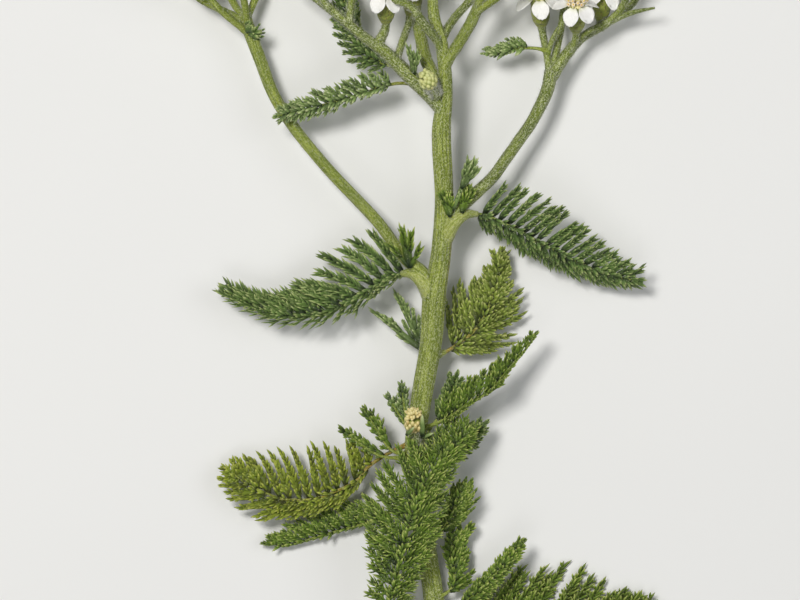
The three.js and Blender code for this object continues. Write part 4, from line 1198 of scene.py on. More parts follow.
@dataclass(frozen=True)
class Leaf:
    """A cut leaf: a petiole and a midrib with leaflets on both sides.

    line runs from the stem to the leaf's tip. bare is the share of it that is petiole, and tip
    is the length of the last leaflet. fold and roll, at the foot and at the tip, are in degrees.
    spread is a leaflet's half width as a share of the distance between two. foot is the
    petiole's half width where it clasps the stem, turned is how far the leaf has gone yellow or
    brown, blush is how brown the petiole is, and crest is how many lobes rise from the midrib
    for each pair. also holds more leaves of the same piece.
    """

    name: str
    tone: Tone
    line: Line
    pairs: int
    bare: float
    tip: float
    left: Side
    right: Side
    fold: float
    roll: tuple[float, float]
    seed: int
    spread: float = 0.64
    foot: float = 0.5
    turned: float = 0.0
    blush: float = 0.0
    crest: float = 0.0
    plan: Leaflet = Leaflet()
    also: tuple["Leaf", ...] = ()

    CURL = 0.1
    TWIST = 18.0
    WOOL = Wool(2.0, 0.2, 0.55, 0.016)
    RIB = (0.3, 0.13)
    RIB_HEIGHT = (0.32, 0.14)
    STEADY = 0.16

    def _frame(self, spine: Spine, share: float) -> tuple[Array, Array, Array]:
        """Returns the rib's forward, left and up directions at a place, rolled."""
        forward = spine.heading(share, self.STEADY)
        up = square_to(UP, forward)
        left = np.cross(up, forward)
        roll = math.radians(along(self.roll, share))
        return forward, swung(left, up, roll), swung(up, -left, roll)

    def _rib(self, spine: Spine, end: float) -> list[Station]:
        """Returns the cross-sections of the petiole and the midrib."""
        made = []
        for share in np.linspace(0.0, min(1.0, end + 0.03), 30).tolist():
            forward, left, up = self._frame(spine, share)
            clasp = max(0.0, 1.0 - share / max(0.6 * self.bare, 0.04))
            width = along(self.RIB, share) + (self.foot - self.RIB[0]) * clasp**1.5
            height = along(self.RIB_HEIGHT, share) * (1.0 + 0.35 * clasp)
            made.append(Station(spine.at(share), forward, left, up, width, height))
        return made

    def _leaflets(self, spine: Spine, end: float) -> Foliage:
        """Grows all leaflets.

        Args:
            spine: The leaf's line.
            end: Share of it at which the blade's last pair ends.

        Returns:
            Their blades and lobes.
        """
        rng = Random(self.seed)
        grown = Foliage()
        spacing = spine.length * (end - self.bare) / self.pairs
        for index in range(self.pairs):
            share = (index + 0.5) / self.pairs
            for side in (1.0, -1.0):
                step = (index + 0.5 + 0.18 * side + rng.uniform(-0.12, 0.12)) / self.pairs
                base = self._leaflet_base(spine, self.bare + (end - self.bare) * step, share, side, rng)
                grown.take(self.plan.grow(rng, base, min(self.spread * spacing, 0.4 * base.length)))
        forward, left, _ = self._frame(spine, end)
        last = Copy(spine.at(end), forward, left, self.tip, 0.2, 0.15, 0.0, 0.0, rng.random(), self.turned)
        grown.take(self.plan.grow(rng, last, min(0.6 * spacing, 0.4 * self.tip)))
        grown.lobes += self._crest(spine, end, rng)
        return grown

    def _crest(self, spine: Spine, end: float, rng: Random) -> list[Copy]:
        """Returns the lobes that rise from the midrib and hide it.

        Args:
            spine: The leaf's line.
            end: Share of it at which the blade's last pair ends.
            rng: The random numbers.

        Returns:
            The lobes.
        """
        made = []
        count = round(self.crest * self.pairs)
        for index in range(count):
            place = self.bare + (end - self.bare) * (index + rng.random()) / count
            forward, left, up = self._frame(spine, place)
            ahead = unit(forward * 0.7 + left * rng.uniform(-1.0, 1.0) + up * rng.uniform(0.08, 0.45))
            root = spine.at(place) + up * (0.6 * along(self.RIB_HEIGHT, place))
            length, bend = rng.uniform(0.9, 1.8), rng.uniform(-0.3, 0)
            side = unit(np.cross(up, ahead))
            made.append(Copy(root, ahead, side, length, 0.25, 0.13, bend, 0, rng.random(), self.turned))
        return made

    def _leaflet_base(self, spine: Spine, place: float, share: float, side: float, rng: Random) -> Copy:
        """Returns place, directions and length of one leaflet.

        Args:
            spine: The leaf's line.
            place: Share of the line.
            share: Share of the blade.
            side: 1 on the left, -1 on the right.
            rng: The random numbers.

        Returns:
            The leaflet's blade.
        """
        forward, left, up = self._frame(spine, place)
        half = self.left if side > 0 else self.right
        fold = math.radians(self.fold)
        lean = math.radians(along(half.leans, share) + rng.uniform(-4.5, 4.5))
        outward = left * (side * math.cos(fold)) + up * math.sin(fold)
        normal = up * math.cos(fold) - left * (side * math.sin(fold))
        ahead = unit(swung(forward, outward, lean))
        twist = math.radians(self.TWIST + rng.uniform(-8, 8))
        across = unit(swung(np.cross(normal, ahead), normal, twist))
        length = along(half.lengths, share) * rng.uniform(0.88, 1.08)
        root = spine.at(place) + left * (side * 0.6 * along(self.RIB, place))
        droop = -half.sag + rng.uniform(-0.05, 0.05)
        sway = -side * (self.CURL + rng.uniform(-0.06, 0.06))
        return Copy(root, ahead, across, length, 0.2, 0.15, droop, sway, rng.random(), self.turned)

    def add_to(self, piece: Piece, workshop: Workshop, finish: int) -> None:
        """Adds the leaf to a piece whose finishes from this index on are leaf, rib and hair.

        Args:
            piece: The piece.
            workshop: The patterns.
            finish: Index of the leaf's finish.
        """
        spine = Spine(self.line)
        end = 1.0 - self.tip / spine.length
        rib = self._rib(spine, end)
        blush, faded = self.blush, 0.45 + self.bare

        def tone(x: Array, angle: Array) -> Array:
            """Gives the rib's blush and wool."""
            return np.stack([blush * np.exp(-((x / faded) ** 2)), 0.35 + 0.0 * angle], axis=-1)

        def channel(x: Array, angle: Array) -> Array:
            """Sinks a channel into the rib's upper face."""
            return 1.0 - 0.3 * np.exp(-(((angle - math.pi / 2) / 0.45) ** 2))

        piece.sweep(workshop.patterns.rod, rib, finish + 1, channel, tone)
        self._leaflets(spine, end).stamp(piece, workshop.patterns, finish)
        piece.stamp(workshop.patterns.hair, self.WOOL.grow(rib, self.seed), finish + 2)
        for other in self.also:
            other.add_to(piece, workshop, finish)

    def build(self, workshop: Workshop) -> Object:
        """Builds the leaf as a piece that stands for its solid.

        Args:
            workshop: The patterns and the finishes.

        Returns:
            The object.
        """
        looks = workshop.wardrobe
        piece = Piece(f"dressed_{self.name}", [looks.leaf[self.tone], looks.rib, looks.hair])
        self.add_to(piece, workshop, 0)
        return piece.build((self.name,), self.tone.value.slot)


FINE = Leaflet(gap=0.8, tooth_from=2.0, lobe_width=0.2, blade_width=0.5, crest=0.4)
FULL = Leaflet(gap=0.95, tooth_from=1.7, lobe_width=0.24, blade_width=0.6, crest=0.4)
BRUSH = Leaflet(gap=0.74, tooth_from=2.1, lobe_width=0.17, blade_width=0.46, crest=0.5)
OPEN = Leaflet(
    gap=1.0, tooth_from=1.5, lobe_width=0.24, blade_width=0.46, crest=0.15, bare=0.14,
    outline=(0.9, 1.0, 0.95, 0.85, 0.7, 0.5),
)
NO_TOOTH = 9.0
SMALL = Leaflet(gap=0.66, tooth_from=NO_TOOTH, thickness=0.1, lobe_width=0.18, blade_width=0.4, crest=0.25)
COMB = Leaflet(
    gap=0.7, tooth_from=NO_TOOTH, lobe_width=0.2, blade_width=0.6, crest=0.6, bare=0.1,
    angle=(30.0, 28.0, 26.0, 22.0), outline=(0.75, 0.95, 1.05, 1.05, 0.85, 0.55),
)
SPARE = Leaflet(
    gap=2.2, tooth_from=NO_TOOTH, lobe_width=0.26, blade_width=0.36, crest=0.0, bare=0.3,
    angle=(30.0, 28.0, 24.0), outline=(1.0, 1.0, 0.9),
)
TUFT = Leaflet(
    gap=0.9, tooth_from=NO_TOOTH, lobe_width=0.2, blade_width=0.7, crest=0.0, bare=0.4,
    angle=(26.0, 24.0, 20.0), outline=(1.0, 1.0, 0.8),
)


@dataclass(frozen=True)
class Fan:
    """A tuft of leaflets that leave one foot.

    tips holds the end of each leaflet and its half width.
    """

    foot: Point
    tips: tuple[tuple[Point, float], ...]
    seed: int
    reach: float = 0.55

    def add_to(self, piece: Piece, workshop: Workshop, finish: int) -> None:
        """Adds the tuft to a piece.

        Args:
            piece: The piece.
            workshop: The patterns.
            finish: Index of its finish.
        """
        rng = Random(self.seed)
        grown = Foliage()
        for end, half_width in self.tips:
            base = pointing(self.foot, end, half_width)._replace(bend=-0.05, chance=rng.random())
            grown.take(TUFT.grow(rng, base, self.reach))
            grown.blades[-1] = grown.blades[-1]._replace(half_width=half_width)
        grown.stamp(piece, workshop.patterns, finish)


@dataclass(frozen=True)
class Shoot:
    """A small leafy shoot in a fork, as a piece of its own."""

    name: str
    tone: Tone
    fans: tuple[Fan, ...]
    slot: str = "dark_leaves"

    def build(self, workshop: Workshop) -> Object:
        """Builds the shoot as a piece that stands for its solid.

        Args:
            workshop: The patterns and the finishes.

        Returns:
            The object.
        """
        piece = Piece(f"dressed_{self.name}", [workshop.wardrobe.leaf[self.tone]])
        for fan in self.fans:
            fan.add_to(piece, workshop, 0)
        return piece.build((self.name,), self.slot)


SHOOTS = (
    Shoot(
        "shoot_upper_left", Tone.GREY,
        (
            Fan(
                (2.1, 33.5, 12.2),
                (((1.3, 37.6, 13), 0.34), ((2.75, 36.5, 12.9), 0.3), ((1.9, 36.9, 13.2), 0.26)), 21,
            ),
        ),
    ),
    Shoot(
        "shoot_right", Tone.GREY,
        (
            Fan((7.8, 13.2, 10.6), (((9.4, 17.2, 11.7), 0.4), ((9.8, 18.4, 11.8), 0.34)), 20, 0.3),
            Fan(
                (9.2, 16.6, 11.6), (((10.3, 20.8, 12.4), 0.42), ((11.3, 20.9, 12.2), 0.36),
                 ((11.7, 19.6, 12.1), 0.3), ((9.7, 19.4, 12.3), 0.3)), 22, 0.6,
            ),
        ),
    ),
    Shoot(
        "leaf_back_left", Tone.GREY,
        (
            Fan((3.7, -7.7, 5.8), (((-0.4, -5.1, 4.7), 0.36), ((-4.5, -1.3, 3.9), 0.5)), 7, 0.5),
            Fan((0.4, -5.0, 4.8), (((-1.4, -2.8, 4.9), 0.34), ((-2.7, -2.2, 4.5), 0.32)), 31, 0.35),
            Fan((2.2, -6.3, 5.3), (((0.4, -3.0, 5.1), 0.34),), 32, 0.35),
            Fan((3.5, -7.2, 5.7), (((1.9, -3.6, 5.2), 0.36), ((-0.9, 1.5, 4.5), 0.5)), 27, 0.5),
            Fan((1.5, -3.0, 5.0), (((1.0, -0.6, 5.1), 0.34), ((0.1, 0.6, 4.9), 0.3)), 33, 0.35),
            Fan((2.4, -4.7, 5.3), (((1.9, -1.2, 5.2), 0.36),), 34, 0.35),
            Fan((3.1, -6.0, 5.5), (((2.8, -2.3, 5.4), 0.36),), 35, 0.35),
        ),
        "green_leaves",
    ),
)

LEAVES: tuple[Leaf, ...] = (
    Leaf(
        "leaf_long_left", Tone.DARK, ((3.4, 2.6, 7), (0.9, 4, 6.4), (-1.3, 3.4, 6.2), (-3.6, 2, 6.1),
         (-7, -0.1, 6), (-10.5, -1.6, 5.8), (-13.9, -2.3, 5.5), (-17, -2.4, 5.2), (-20.6, -1.4, 4.7),
         (-24.3, 0.2, 4.3), (-27.2, 1.5, 4)), 19, 0.09, 2.4,
        Side((4, 4, 3.8, 3.4, 2.8, 2), (70, 48, 30), 0.1),
        Side((7.8, 9.4, 8.8, 6.8, 5, 4, 2.8), (62, 54, 44, 36, 28), 0.04), 36, (38, 30), 1, spread=0.76,
        foot=0.8, crest=8, plan=COMB,
    ),
    Leaf(
        "leaf_long_right", Tone.DARK, ((7.8, 12, 8.4), (9.6, 12.9, 8.1), (11.4, 12.9, 7.9),
         (13.8, 12.3, 7.8), (18.6, 9.9, 7.4), (22, 8.1, 7.1), (25.3, 6.4, 6.8), (28.7, 4.8, 6.4),
         (32.3, 3.5, 6), (36.4, 2.9, 5.6)), 19, 0.13, 2.2,
        Side((6.2, 6.8, 6.2, 5, 3.8, 2.4), (66, 76, 64, 44), 0.05),
        Side((3, 4, 4.6, 5, 4.2, 2.4), (70, 52, 38, 28), 0.42), 0, (20, 14), 2, spread=0.56, foot=0.7,
        crest=5, plan=COMB,
    ),
    Leaf(
        "leaf_upper_left", Tone.GREY, ((5.6, 31.2, 10.2), (1, 32.4, 9.4), (-1.2, 32.3, 9.3),
         (-5.6, 30.9, 9), (-9, 29.9, 8.8), (-12.8, 28.9, 8.4), (-16.6, 28, 8), (-18.9, 27.4, 7.8)), 14,
        0.27, 1.4, Side((0.5, 0.9, 1.9, 2.1, 1.5), (44, 36), 0.2),
        Side((2.2, 3, 3.1, 2.9, 2.3, 1.5), (60, 40), 0.02), 6, (8, 8), 3, foot=0.8, blush=0.3, crest=5,
        plan=SMALL,
    ),
    Leaf(
        "leaf_behind_branch", Tone.DARK, ((0.1, 34.7, 9.5), (-2.1, 35.3, 7.9), (-4.9, 36.8, 7.4),
         (-6.9, 40, 7.4), (-8.2, 44, 6.8), (-8.6, 47.5, 6.4)), 12, 0.14, 2,
        Side((2.4, 3.3, 3.5, 3.2, 2.6, 1.6), (52, 42)), Side((4, 5.4, 5.6, 4.6, 3), (34, 26)), 4, (0, 0), 4,
        crest=4, plan=FINE,
    ),
    Leaf(
        "leaf_small_right", Tone.GREY, ((22.6, 37.2, 6.4), (20.8, 37.7, 6.8), (19.2, 37.8, 7),
         (17.4, 37.7, 7.3), (15, 36.9, 7.5), (12.3, 37, 7.6)), 10, 0.34, 1.2,
        Side((0.4, 0.5, 0.5, 0.4), (30, 24)), Side((2, 2.4, 2.3, 1.9, 1.2), (50, 32)), 16, (12, 10), 5,
        spread=0.75, foot=0.6, crest=2, plan=SMALL,
    ),
    Leaf(
        "leaf_broad_back", Tone.OLIVE, ((5.4, -8.6, 5.9), (7.2, -7.6, 5.2), (8.6, -6.7, 4.6),
         (11.2, -4.6, 4), (12.8, -2.4, 3.6), (13.8, 0.2, 3.5), (14.6, 2.8, 3.4), (15, 5.3, 3.5),
         (15.4, 8, 3.6)), 13, 0.12, 2.4, Side((7.4, 8.4, 6.6, 4.6, 3, 2.2), (66, 54, 40, 30)),
        Side((7.6, 8.4, 7.6, 5, 3.2, 2.2), (38, 34, 30, 24)), 2, (0, 0), 6, turned=0.05, blush=0.9,
        crest=1.5, plan=FULL,
    ),
    Leaf(
        "leaf_front_right", Tone.GREEN, ((3.7, -19.2, 7), (7.2, -17.7, 8), (10.5, -15.3, 8.6),
         (13.6, -13.5, 9), (16, -10.7, 9), (18.9, -7.2, 8.8), (20.5, -4.8, 8.6)), 15, 0.1, 1.3,
        Side((4, 4.6, 4.4, 3.2, 2, 1.3), (50, 36)), Side((2.8, 3, 2.8, 2.1, 1.3, 0.9), (46, 34)), 46,
        (-42, -42), 8, crest=0, plan=FINE,
    ),
    Leaf(
        "leaf_dark_right", Tone.DARK,
        ((4.1, -19.6, 5.3), (5.9, -17.6, 5.1), (7.5, -15, 4.9), (8.7, -10.6, 4.7)), 8, 0.2, 1.8,
        Side((2.4, 2.8, 2.4, 1.8), (48, 34)), Side((2.4, 2.8, 2.4, 1.8), (48, 34)), 4, (0, 0), 9, crest=3,
        plan=SMALL,
    ),
    Leaf(
        "leaf_short_right", Tone.DARK,
        ((3.6, -23.6, 5.3), (8.2, -22.4, 5.6), (11, -20.4, 6.1), (13.2, -18, 6.6)), 9, 0.2, 1.8,
        Side((3, 3.4, 2.8, 1.8), (52, 34)), Side((2.4, 2.7, 2.2, 1.4), (52, 34)), 12, (8, 8), 10, crest=3,
        plan=FINE,
    ),
    Leaf(
        "leaf_front", Tone.GREEN, ((4.4, -57, 3), (1.2, -54.6, 4.8), (-1.4, -50.6, 6.4), (-1.9, -46.4, 7.8),
         (-0.7, -42.4, 8.9), (0.3, -38, 9.6), (1.7, -32.6, 9.9), (3.4, -28.2, 9.9), (5.8, -24.4, 9.7),
         (8.6, -21.4, 9.4), (11.8, -18.9, 9)), 22, 0.2, 2.6,
        Side((1.4, 3.4, 6.6, 9.2, 8.6, 5.6, 2.6), (60, 66, 64, 52, 40)),
        Side((1.8, 3.6, 6, 6.4, 5, 3.4, 2.4), (60, 58, 50, 44, 38)), 4, (-10, -6), 11, spread=0.74, crest=8,
        plan=BRUSH,
    ),
    Leaf(
        "leaf_pale_left", Tone.PALE, ((1.4, -21.6, 5.6), (-0.9, -22.6, 5.3), (-2.7, -23.6, 5.1),
         (-4.9, -25.2, 4.9), (-6.4, -27.1, 4.8), (-9.8, -28.8, 4.6), (-12.4, -29.8, 4.3), (-17.4, -30, 3.9),
         (-21.2, -28.6, 3.5), (-24, -27.1, 3.2), (-26.7, -24.7, 3)), 15, 0.2, 3,
        Side((5.4, 6, 6.6, 7.4, 7, 5, 3), (15, 14, 22, 36, 36), 0.0),
        Side((4, 5.4, 7.2, 8, 8.2, 7.4, 5.6, 3.6), (118, 114, 102, 86, 66, 44, 28), 0.05), 6, (6, 8), 12,
        spread=0.5, turned=0.06, blush=1.0, crest=1.6, plan=FULL,
    ),
    Leaf(
        "leaf_low_left", Tone.GREEN, ((1.4, -30.9, 4.5), (-1.5, -31.9, 3.7), (-5, -33.6, 2.8),
         (-8.5, -34.6, 2.4), (-13, -35.9, 2), (-17.6, -37.1, 1.8), (-20.7, -36.2, 1.8)), 18, 0.16, 1.6,
        Side((0.8, 0.9, 0.9, 0.8, 0.7), (20, 16)), Side((4.6, 5.4, 5.6, 4.8, 3.6, 2), (66, 66, 54, 40)), 44,
        (40, 36), 13, crest=1, plan=SMALL,
    ),
    Leaf(
        "leaf_axil_left", Tone.GREEN,
        ((1, -23.2, 6.2), (-1.2, -22.6, 6.8), (-3.4, -19.6, 7), (-5.6, -15.9, 7)), 5, 0.22, 2.2,
        Side((0.9, 1.3, 1.4), (26, 22)), Side((3.2, 3, 2.4, 1.6), (30, 24)), 4, (0, 0), 14, spread=0.6,
        plan=SPARE,
        also=(
            Leaf(
                "lower leaflet", Tone.GREEN,
                ((0.4, -23.8, 6), (-2.9, -23.4, 6.5), (-6.2, -21.4, 6.8), (-9.1, -19.2, 7)), 6, 0.24, 2,
                Side((0.4, 0.7, 0.9), (24, 20)), Side((2.8, 3, 2.4, 1.6), (30, 22)), 4, (0, 0), 28,
                spread=0.6, plan=SPARE,
            ),
        ),
    ),
    Leaf(
        "leaf_axil_back", Tone.GREY,
        ((1.9, -21.2, 5.6), (0.6, -18.4, 5.2), (-0.9, -16, 4.8), (-2, -14.2, 4.4)), 4, 0.26, 1.9,
        Side((0.8, 1, 1), (24, 20)), Side((1.8, 2.2, 1.8), (30, 24)), 4, (0, 0), 15, spread=0.6, plan=SPARE,
        also=(
            Leaf(
                "right finger", Tone.GREY,
                ((1.5, -20.4, 5.8), (0.9, -17.6, 5.6), (0.5, -14.8, 5.4), (0.3, -12.2, 5.2)), 4, 0.3, 2,
                Side((1.2, 1.6, 1.4), (24, 20)), Side((1.6, 2, 1.6), (24, 20)), 4, (0, 0), 29, spread=0.5,
                plan=SPARE,
            ),
        ),
    ),
    Leaf(
        "leaf_fan_right", Tone.GREEN,
        ((5.2, -35.8, 4.4), (6.8, -34, 4.8), (8.5, -30.5, 5.2), (10, -26.6, 5.3)), 10, 0.14, 2.4,
        Side((2.6, 3.2, 2.8, 2), (44, 30)), Side((4.2, 5.2, 4.4, 2.6), (32, 26)), 4, (0, 0), 16, crest=1,
        plan=FINE,
    ),
    Leaf(
        "leaf_curl_right", Tone.GREEN, ((5.7, -44.8, 3.9), (7.6, -43.6, 3.6), (8.2, -41.4, 3.4),
         (7.8, -38.8, 3.2), (8.1, -36.4, 3.2), (9.4, -34, 3.2)), 10, 0.14, 2.2,
        Side((1, 1.4, 1.8, 1.8), (40, 30)), Side((3.4, 4.6, 5.2, 5, 3.6), (24, 36)), 4, (0, 0), 17,
        spread=0.78, crest=1, plan=OPEN,
    ),
    Leaf(
        "leaf_large_right", Tone.GREEN, ((6.2, -48.6, 2.8), (9, -49.3, 2.2), (14, -49.9, 1.1),
         (20, -50, 0.5), (27, -49.1, 0.5), (34, -47.6, 0.9), (39.8, -46.8, 1.2)), 15, 0.08, 3,
        Side((9.8, 11.8, 11.4, 8.4, 4.8, 2.2), (68, 62, 50, 40), 0.02),
        Side((5, 7.9, 8.2, 7.2, 5, 2.4), (60, 38), 0.02), 8, (0, 0), 18, spread=0.6, turned=0.05, crest=1.5,
        plan=FULL,
    ),
    Leaf(
        "leaf_narrow_right", Tone.GREEN,
        ((6, -46.7, 4.2), (9.8, -45.4, 5.4), (14.2, -41.4, 6.2), (18.8, -35.9, 6.4)), 12, 0.2, 1.8,
        Side((2.2, 2.8, 2.4, 1.6), (40, 28)), Side((2.2, 2.8, 2.4, 1.6), (40, 28)), 6, (0, 0), 19, crest=2,
        plan=FINE,
    ),
)


# ---- flower heads


@dataclass(frozen=True)
class Head:
    """A flower head: the middle of its disc, the way it faces, and its stalk's start and course.

    spin is the place of its first ray round the disc, in degrees. Where there is none, chance
    sets it. girth is how many times thicker than usual its stalk is at the foot.
    """

    at: Point
    facing: Point
    stalk_from: Point = (0.0, 0.0, 0.0)
    via: Point = (0.0, 0.0, 0.0)
    spin: float | None = None
    girth: float = 1.0

    def axes(self) -> tuple[Array, Array, Array, Array]:
        """Returns the centre, the way it faces and the two ways across."""
        facing = unit(spot(self.facing))
        across = square_to(RIGHT, facing)
        return spot(self.at), facing, across, np.cross(facing, across)


@dataclass(frozen=True)
class Bloom:
    """An open flower head: five rays round a disc of florets."""

    number: int
    head: Head
    rays: int = 5
    ray_length: float = 2.8
    ray_half_width: float = 1.38
    disc_radius: float = 1.35
    florets: int = 19
    floret_length: float = 1.15
    floret_radius: float = 0.24

    SPREADER = 2654435761
    FACTOR = 1664525
    SHIFT = 1013904223
    WORD = 2**32

    def _spin(self) -> float:
        """Returns the place of the first ray, in radians, as the solids have it."""
        if self.head.spin is not None:
            return math.radians(self.head.spin)
        state = (100 + self.number) * self.SPREADER * self.FACTOR + self.SHIFT
        return state % self.WORD / self.WORD * 2 * math.pi / self.rays

    def _rays(self, rng: Random) -> list[Copy]:
        """Returns the rays."""
        centre, facing, across, over = self.head.axes()
        spin = self._spin()
        made = []
        for index in range(self.rays):
            angle = spin + 2 * math.pi * index / self.rays + rng.uniform(-0.1, 0.1)
            out = swung(across, over, angle)
            level = swung(over, -across, angle)
            tilt = rng.uniform(-0.26, -0.1) - 0.85 * max(0.0, float(out[2]))
            ahead = unit(out + facing * tilt)
            root = centre + out * (0.86 * self.disc_radius) + facing * 0.02
            length = self.ray_length * rng.uniform(0.9, 1.06)
            width = self.ray_half_width * rng.uniform(0.88, 1.04)
            bend, sway = rng.uniform(-0.3, -0.1), rng.uniform(-0.06, 0.06)
            made.append(Copy(root, ahead, level, length, width, 0.5, bend, sway, rng.random()))
        return made

    def _florets(self, rng: Random) -> tuple[list[Copy], list[Copy], list[Copy]]:
        """Returns the open florets, their anthers and the closed florets in the middle."""
        centre, facing, across, over = self.head.axes()
        opened: list[Copy] = []
        anthers: list[Copy] = []
        closed: list[Copy] = []
        for index in range(self.florets):
            share = math.sqrt((index + 0.5) / self.florets)
            angle = index * GOLDEN_ANGLE + self.number
            out = swung(across, over, angle)
            ahead = unit(facing + out * (0.55 * share))
            side = unit(np.cross(facing, out))
            root = centre + out * (0.86 * self.disc_radius * share) + facing * (0.1 - 0.18 * share**2)
            length = self.floret_length * rng.uniform(0.86, 1.1)
            radius = self.floret_radius * rng.uniform(0.9, 1.15)
            if share < 0.42:
                closed.append(Copy(root, ahead, side, length, radius, radius, 0, 0, rng.random(), 0.15))
                continue
            opened.append(Copy(root, ahead, side, length, 1.15 * radius, 1.15 * radius, chance=rng.random()))
            start, sway = root + ahead * (0.7 * length), rng.uniform(-0.2, 0.2)
            anthers.append(Copy(start, ahead, side, 0.5, 0.1, 0.1, 0, sway, rng.random(), 0.6 * rng.random()))
        return opened, anthers, closed

    def _bed(self) -> list[Copy]:
        """Returns the low mound that the florets stand on, as five overlapping wedges."""
        centre, facing, across, over = self.head.axes()
        made = []
        for index in range(5):
            angle = 2 * math.pi * index / 5
            out = swung(across, over, angle)
            start = centre - facing * 0.42
            ahead = unit(facing * 0.35 + out)
            made.append(Copy(start, ahead, unit(np.cross(facing, out)), 1.35, 0.95, 0.5, 0.1, 0, 0.4))
        return made

    def build(self, workshop: Workshop) -> Object:
        """Builds the flower head.

        Args:
            workshop: The patterns and the finishes.

        Returns:
            The object.
        """
        rng = Random(500 + self.number)
        looks, patterns = workshop.wardrobe, workshop.patterns
        finishes = [looks.ray, looks.corolla, looks.anther, looks.closed]
        piece = Piece(f"dressed_bloom_{self.number:02d}", finishes)
        opened, anthers, closed = self._florets(rng)
        piece.stamp(patterns.ray, self._rays(rng), 0)
        piece.stamp(patterns.floret, opened, 1)
        piece.stamp(patterns.anther, anthers, 2)
        piece.stamp(patterns.closed_floret, closed, 3)
        piece.stamp(patterns.scale, self._bed(), 3)
        return piece.build((f"bloom_{self.number:02d}",), "flowers")


@dataclass(frozen=True)
class Cup:
    """The involucre under a flower head: a green cup in rows of overlapping scales."""

    radius: float = 1.42
    length: float = 4.2
    top: float = -0.75
    profile: tuple[tuple[float, float], ...] = (
        (1.0, 0.34), (0.9, 0.6), (0.72, 0.92), (0.36, 1.0), (0.0, 0.86),
    )
    rows: int = 5
    per_row: int = 8
    scale_length: float = 1.7
    scale_half_width: float = 0.62

    def radius_at(self, depth: float) -> float:
        """Returns the cup's radius at a share of its depth under the rim."""
        depths, widths = zip(*reversed(self.profile))
        return self.radius * float(np.interp(depth, depths, widths))

    def stations(self, head: Head) -> list[Station]:
        """Returns the cross-sections of the cup's body, from its foot to its rim."""
        centre, facing, across, over = head.axes()
        made = []
        for depth in np.linspace(1.0, 0.0, 12).tolist():
            size = 0.93 * self.radius_at(depth)
            place = centre + facing * (self.top - depth * self.length)
            made.append(Station(place, facing, across, over, size, size))
        return made

    def scales(self, head: Head, seed: int) -> list[Copy]:
        """Returns the scales, the lowest row first.

        Args:
            head: The flower head.
            seed: Start of the random numbers.

        Returns:
            The scales.
        """
        rng = Random(seed)
        centre, facing, across, over = head.axes()
        made = []
        for row in range(self.rows):
            depth = 1.0 - row / (self.rows - 0.2)
            size = self.radius_at(depth)
            step = self.radius_at(max(0.0, depth - 0.3)) - size
            for index in range(self.per_row):
                angle = 2 * math.pi * (index + 0.5 * (row % 2) + rng.uniform(-0.08, 0.08)) / self.per_row
                out = swung(across, over, angle)
                ahead = unit(facing * (0.3 * self.length) + out * (step + 0.16))
                root = centre + facing * (self.top - depth * self.length) + out * (0.9 * size)
                side = unit(np.cross(out, ahead))
                grow = self.scale_length * (0.72 + 0.07 * row) * rng.uniform(0.92, 1.08)
                wide = self.scale_half_width * min(1.0, 0.62 + size / (2.4 * self.radius))
                made.append(Copy(root, ahead, side, grow, wide, 0.13, -0.1, 0.0, rng.random()))
        return made


# ---- stem and branches


@dataclass(frozen=True)
class Arm:
    """A side arm, a bract or a knuckle, with its radii from foot to tip."""

    line: Line
    radii: tuple[float, ...]


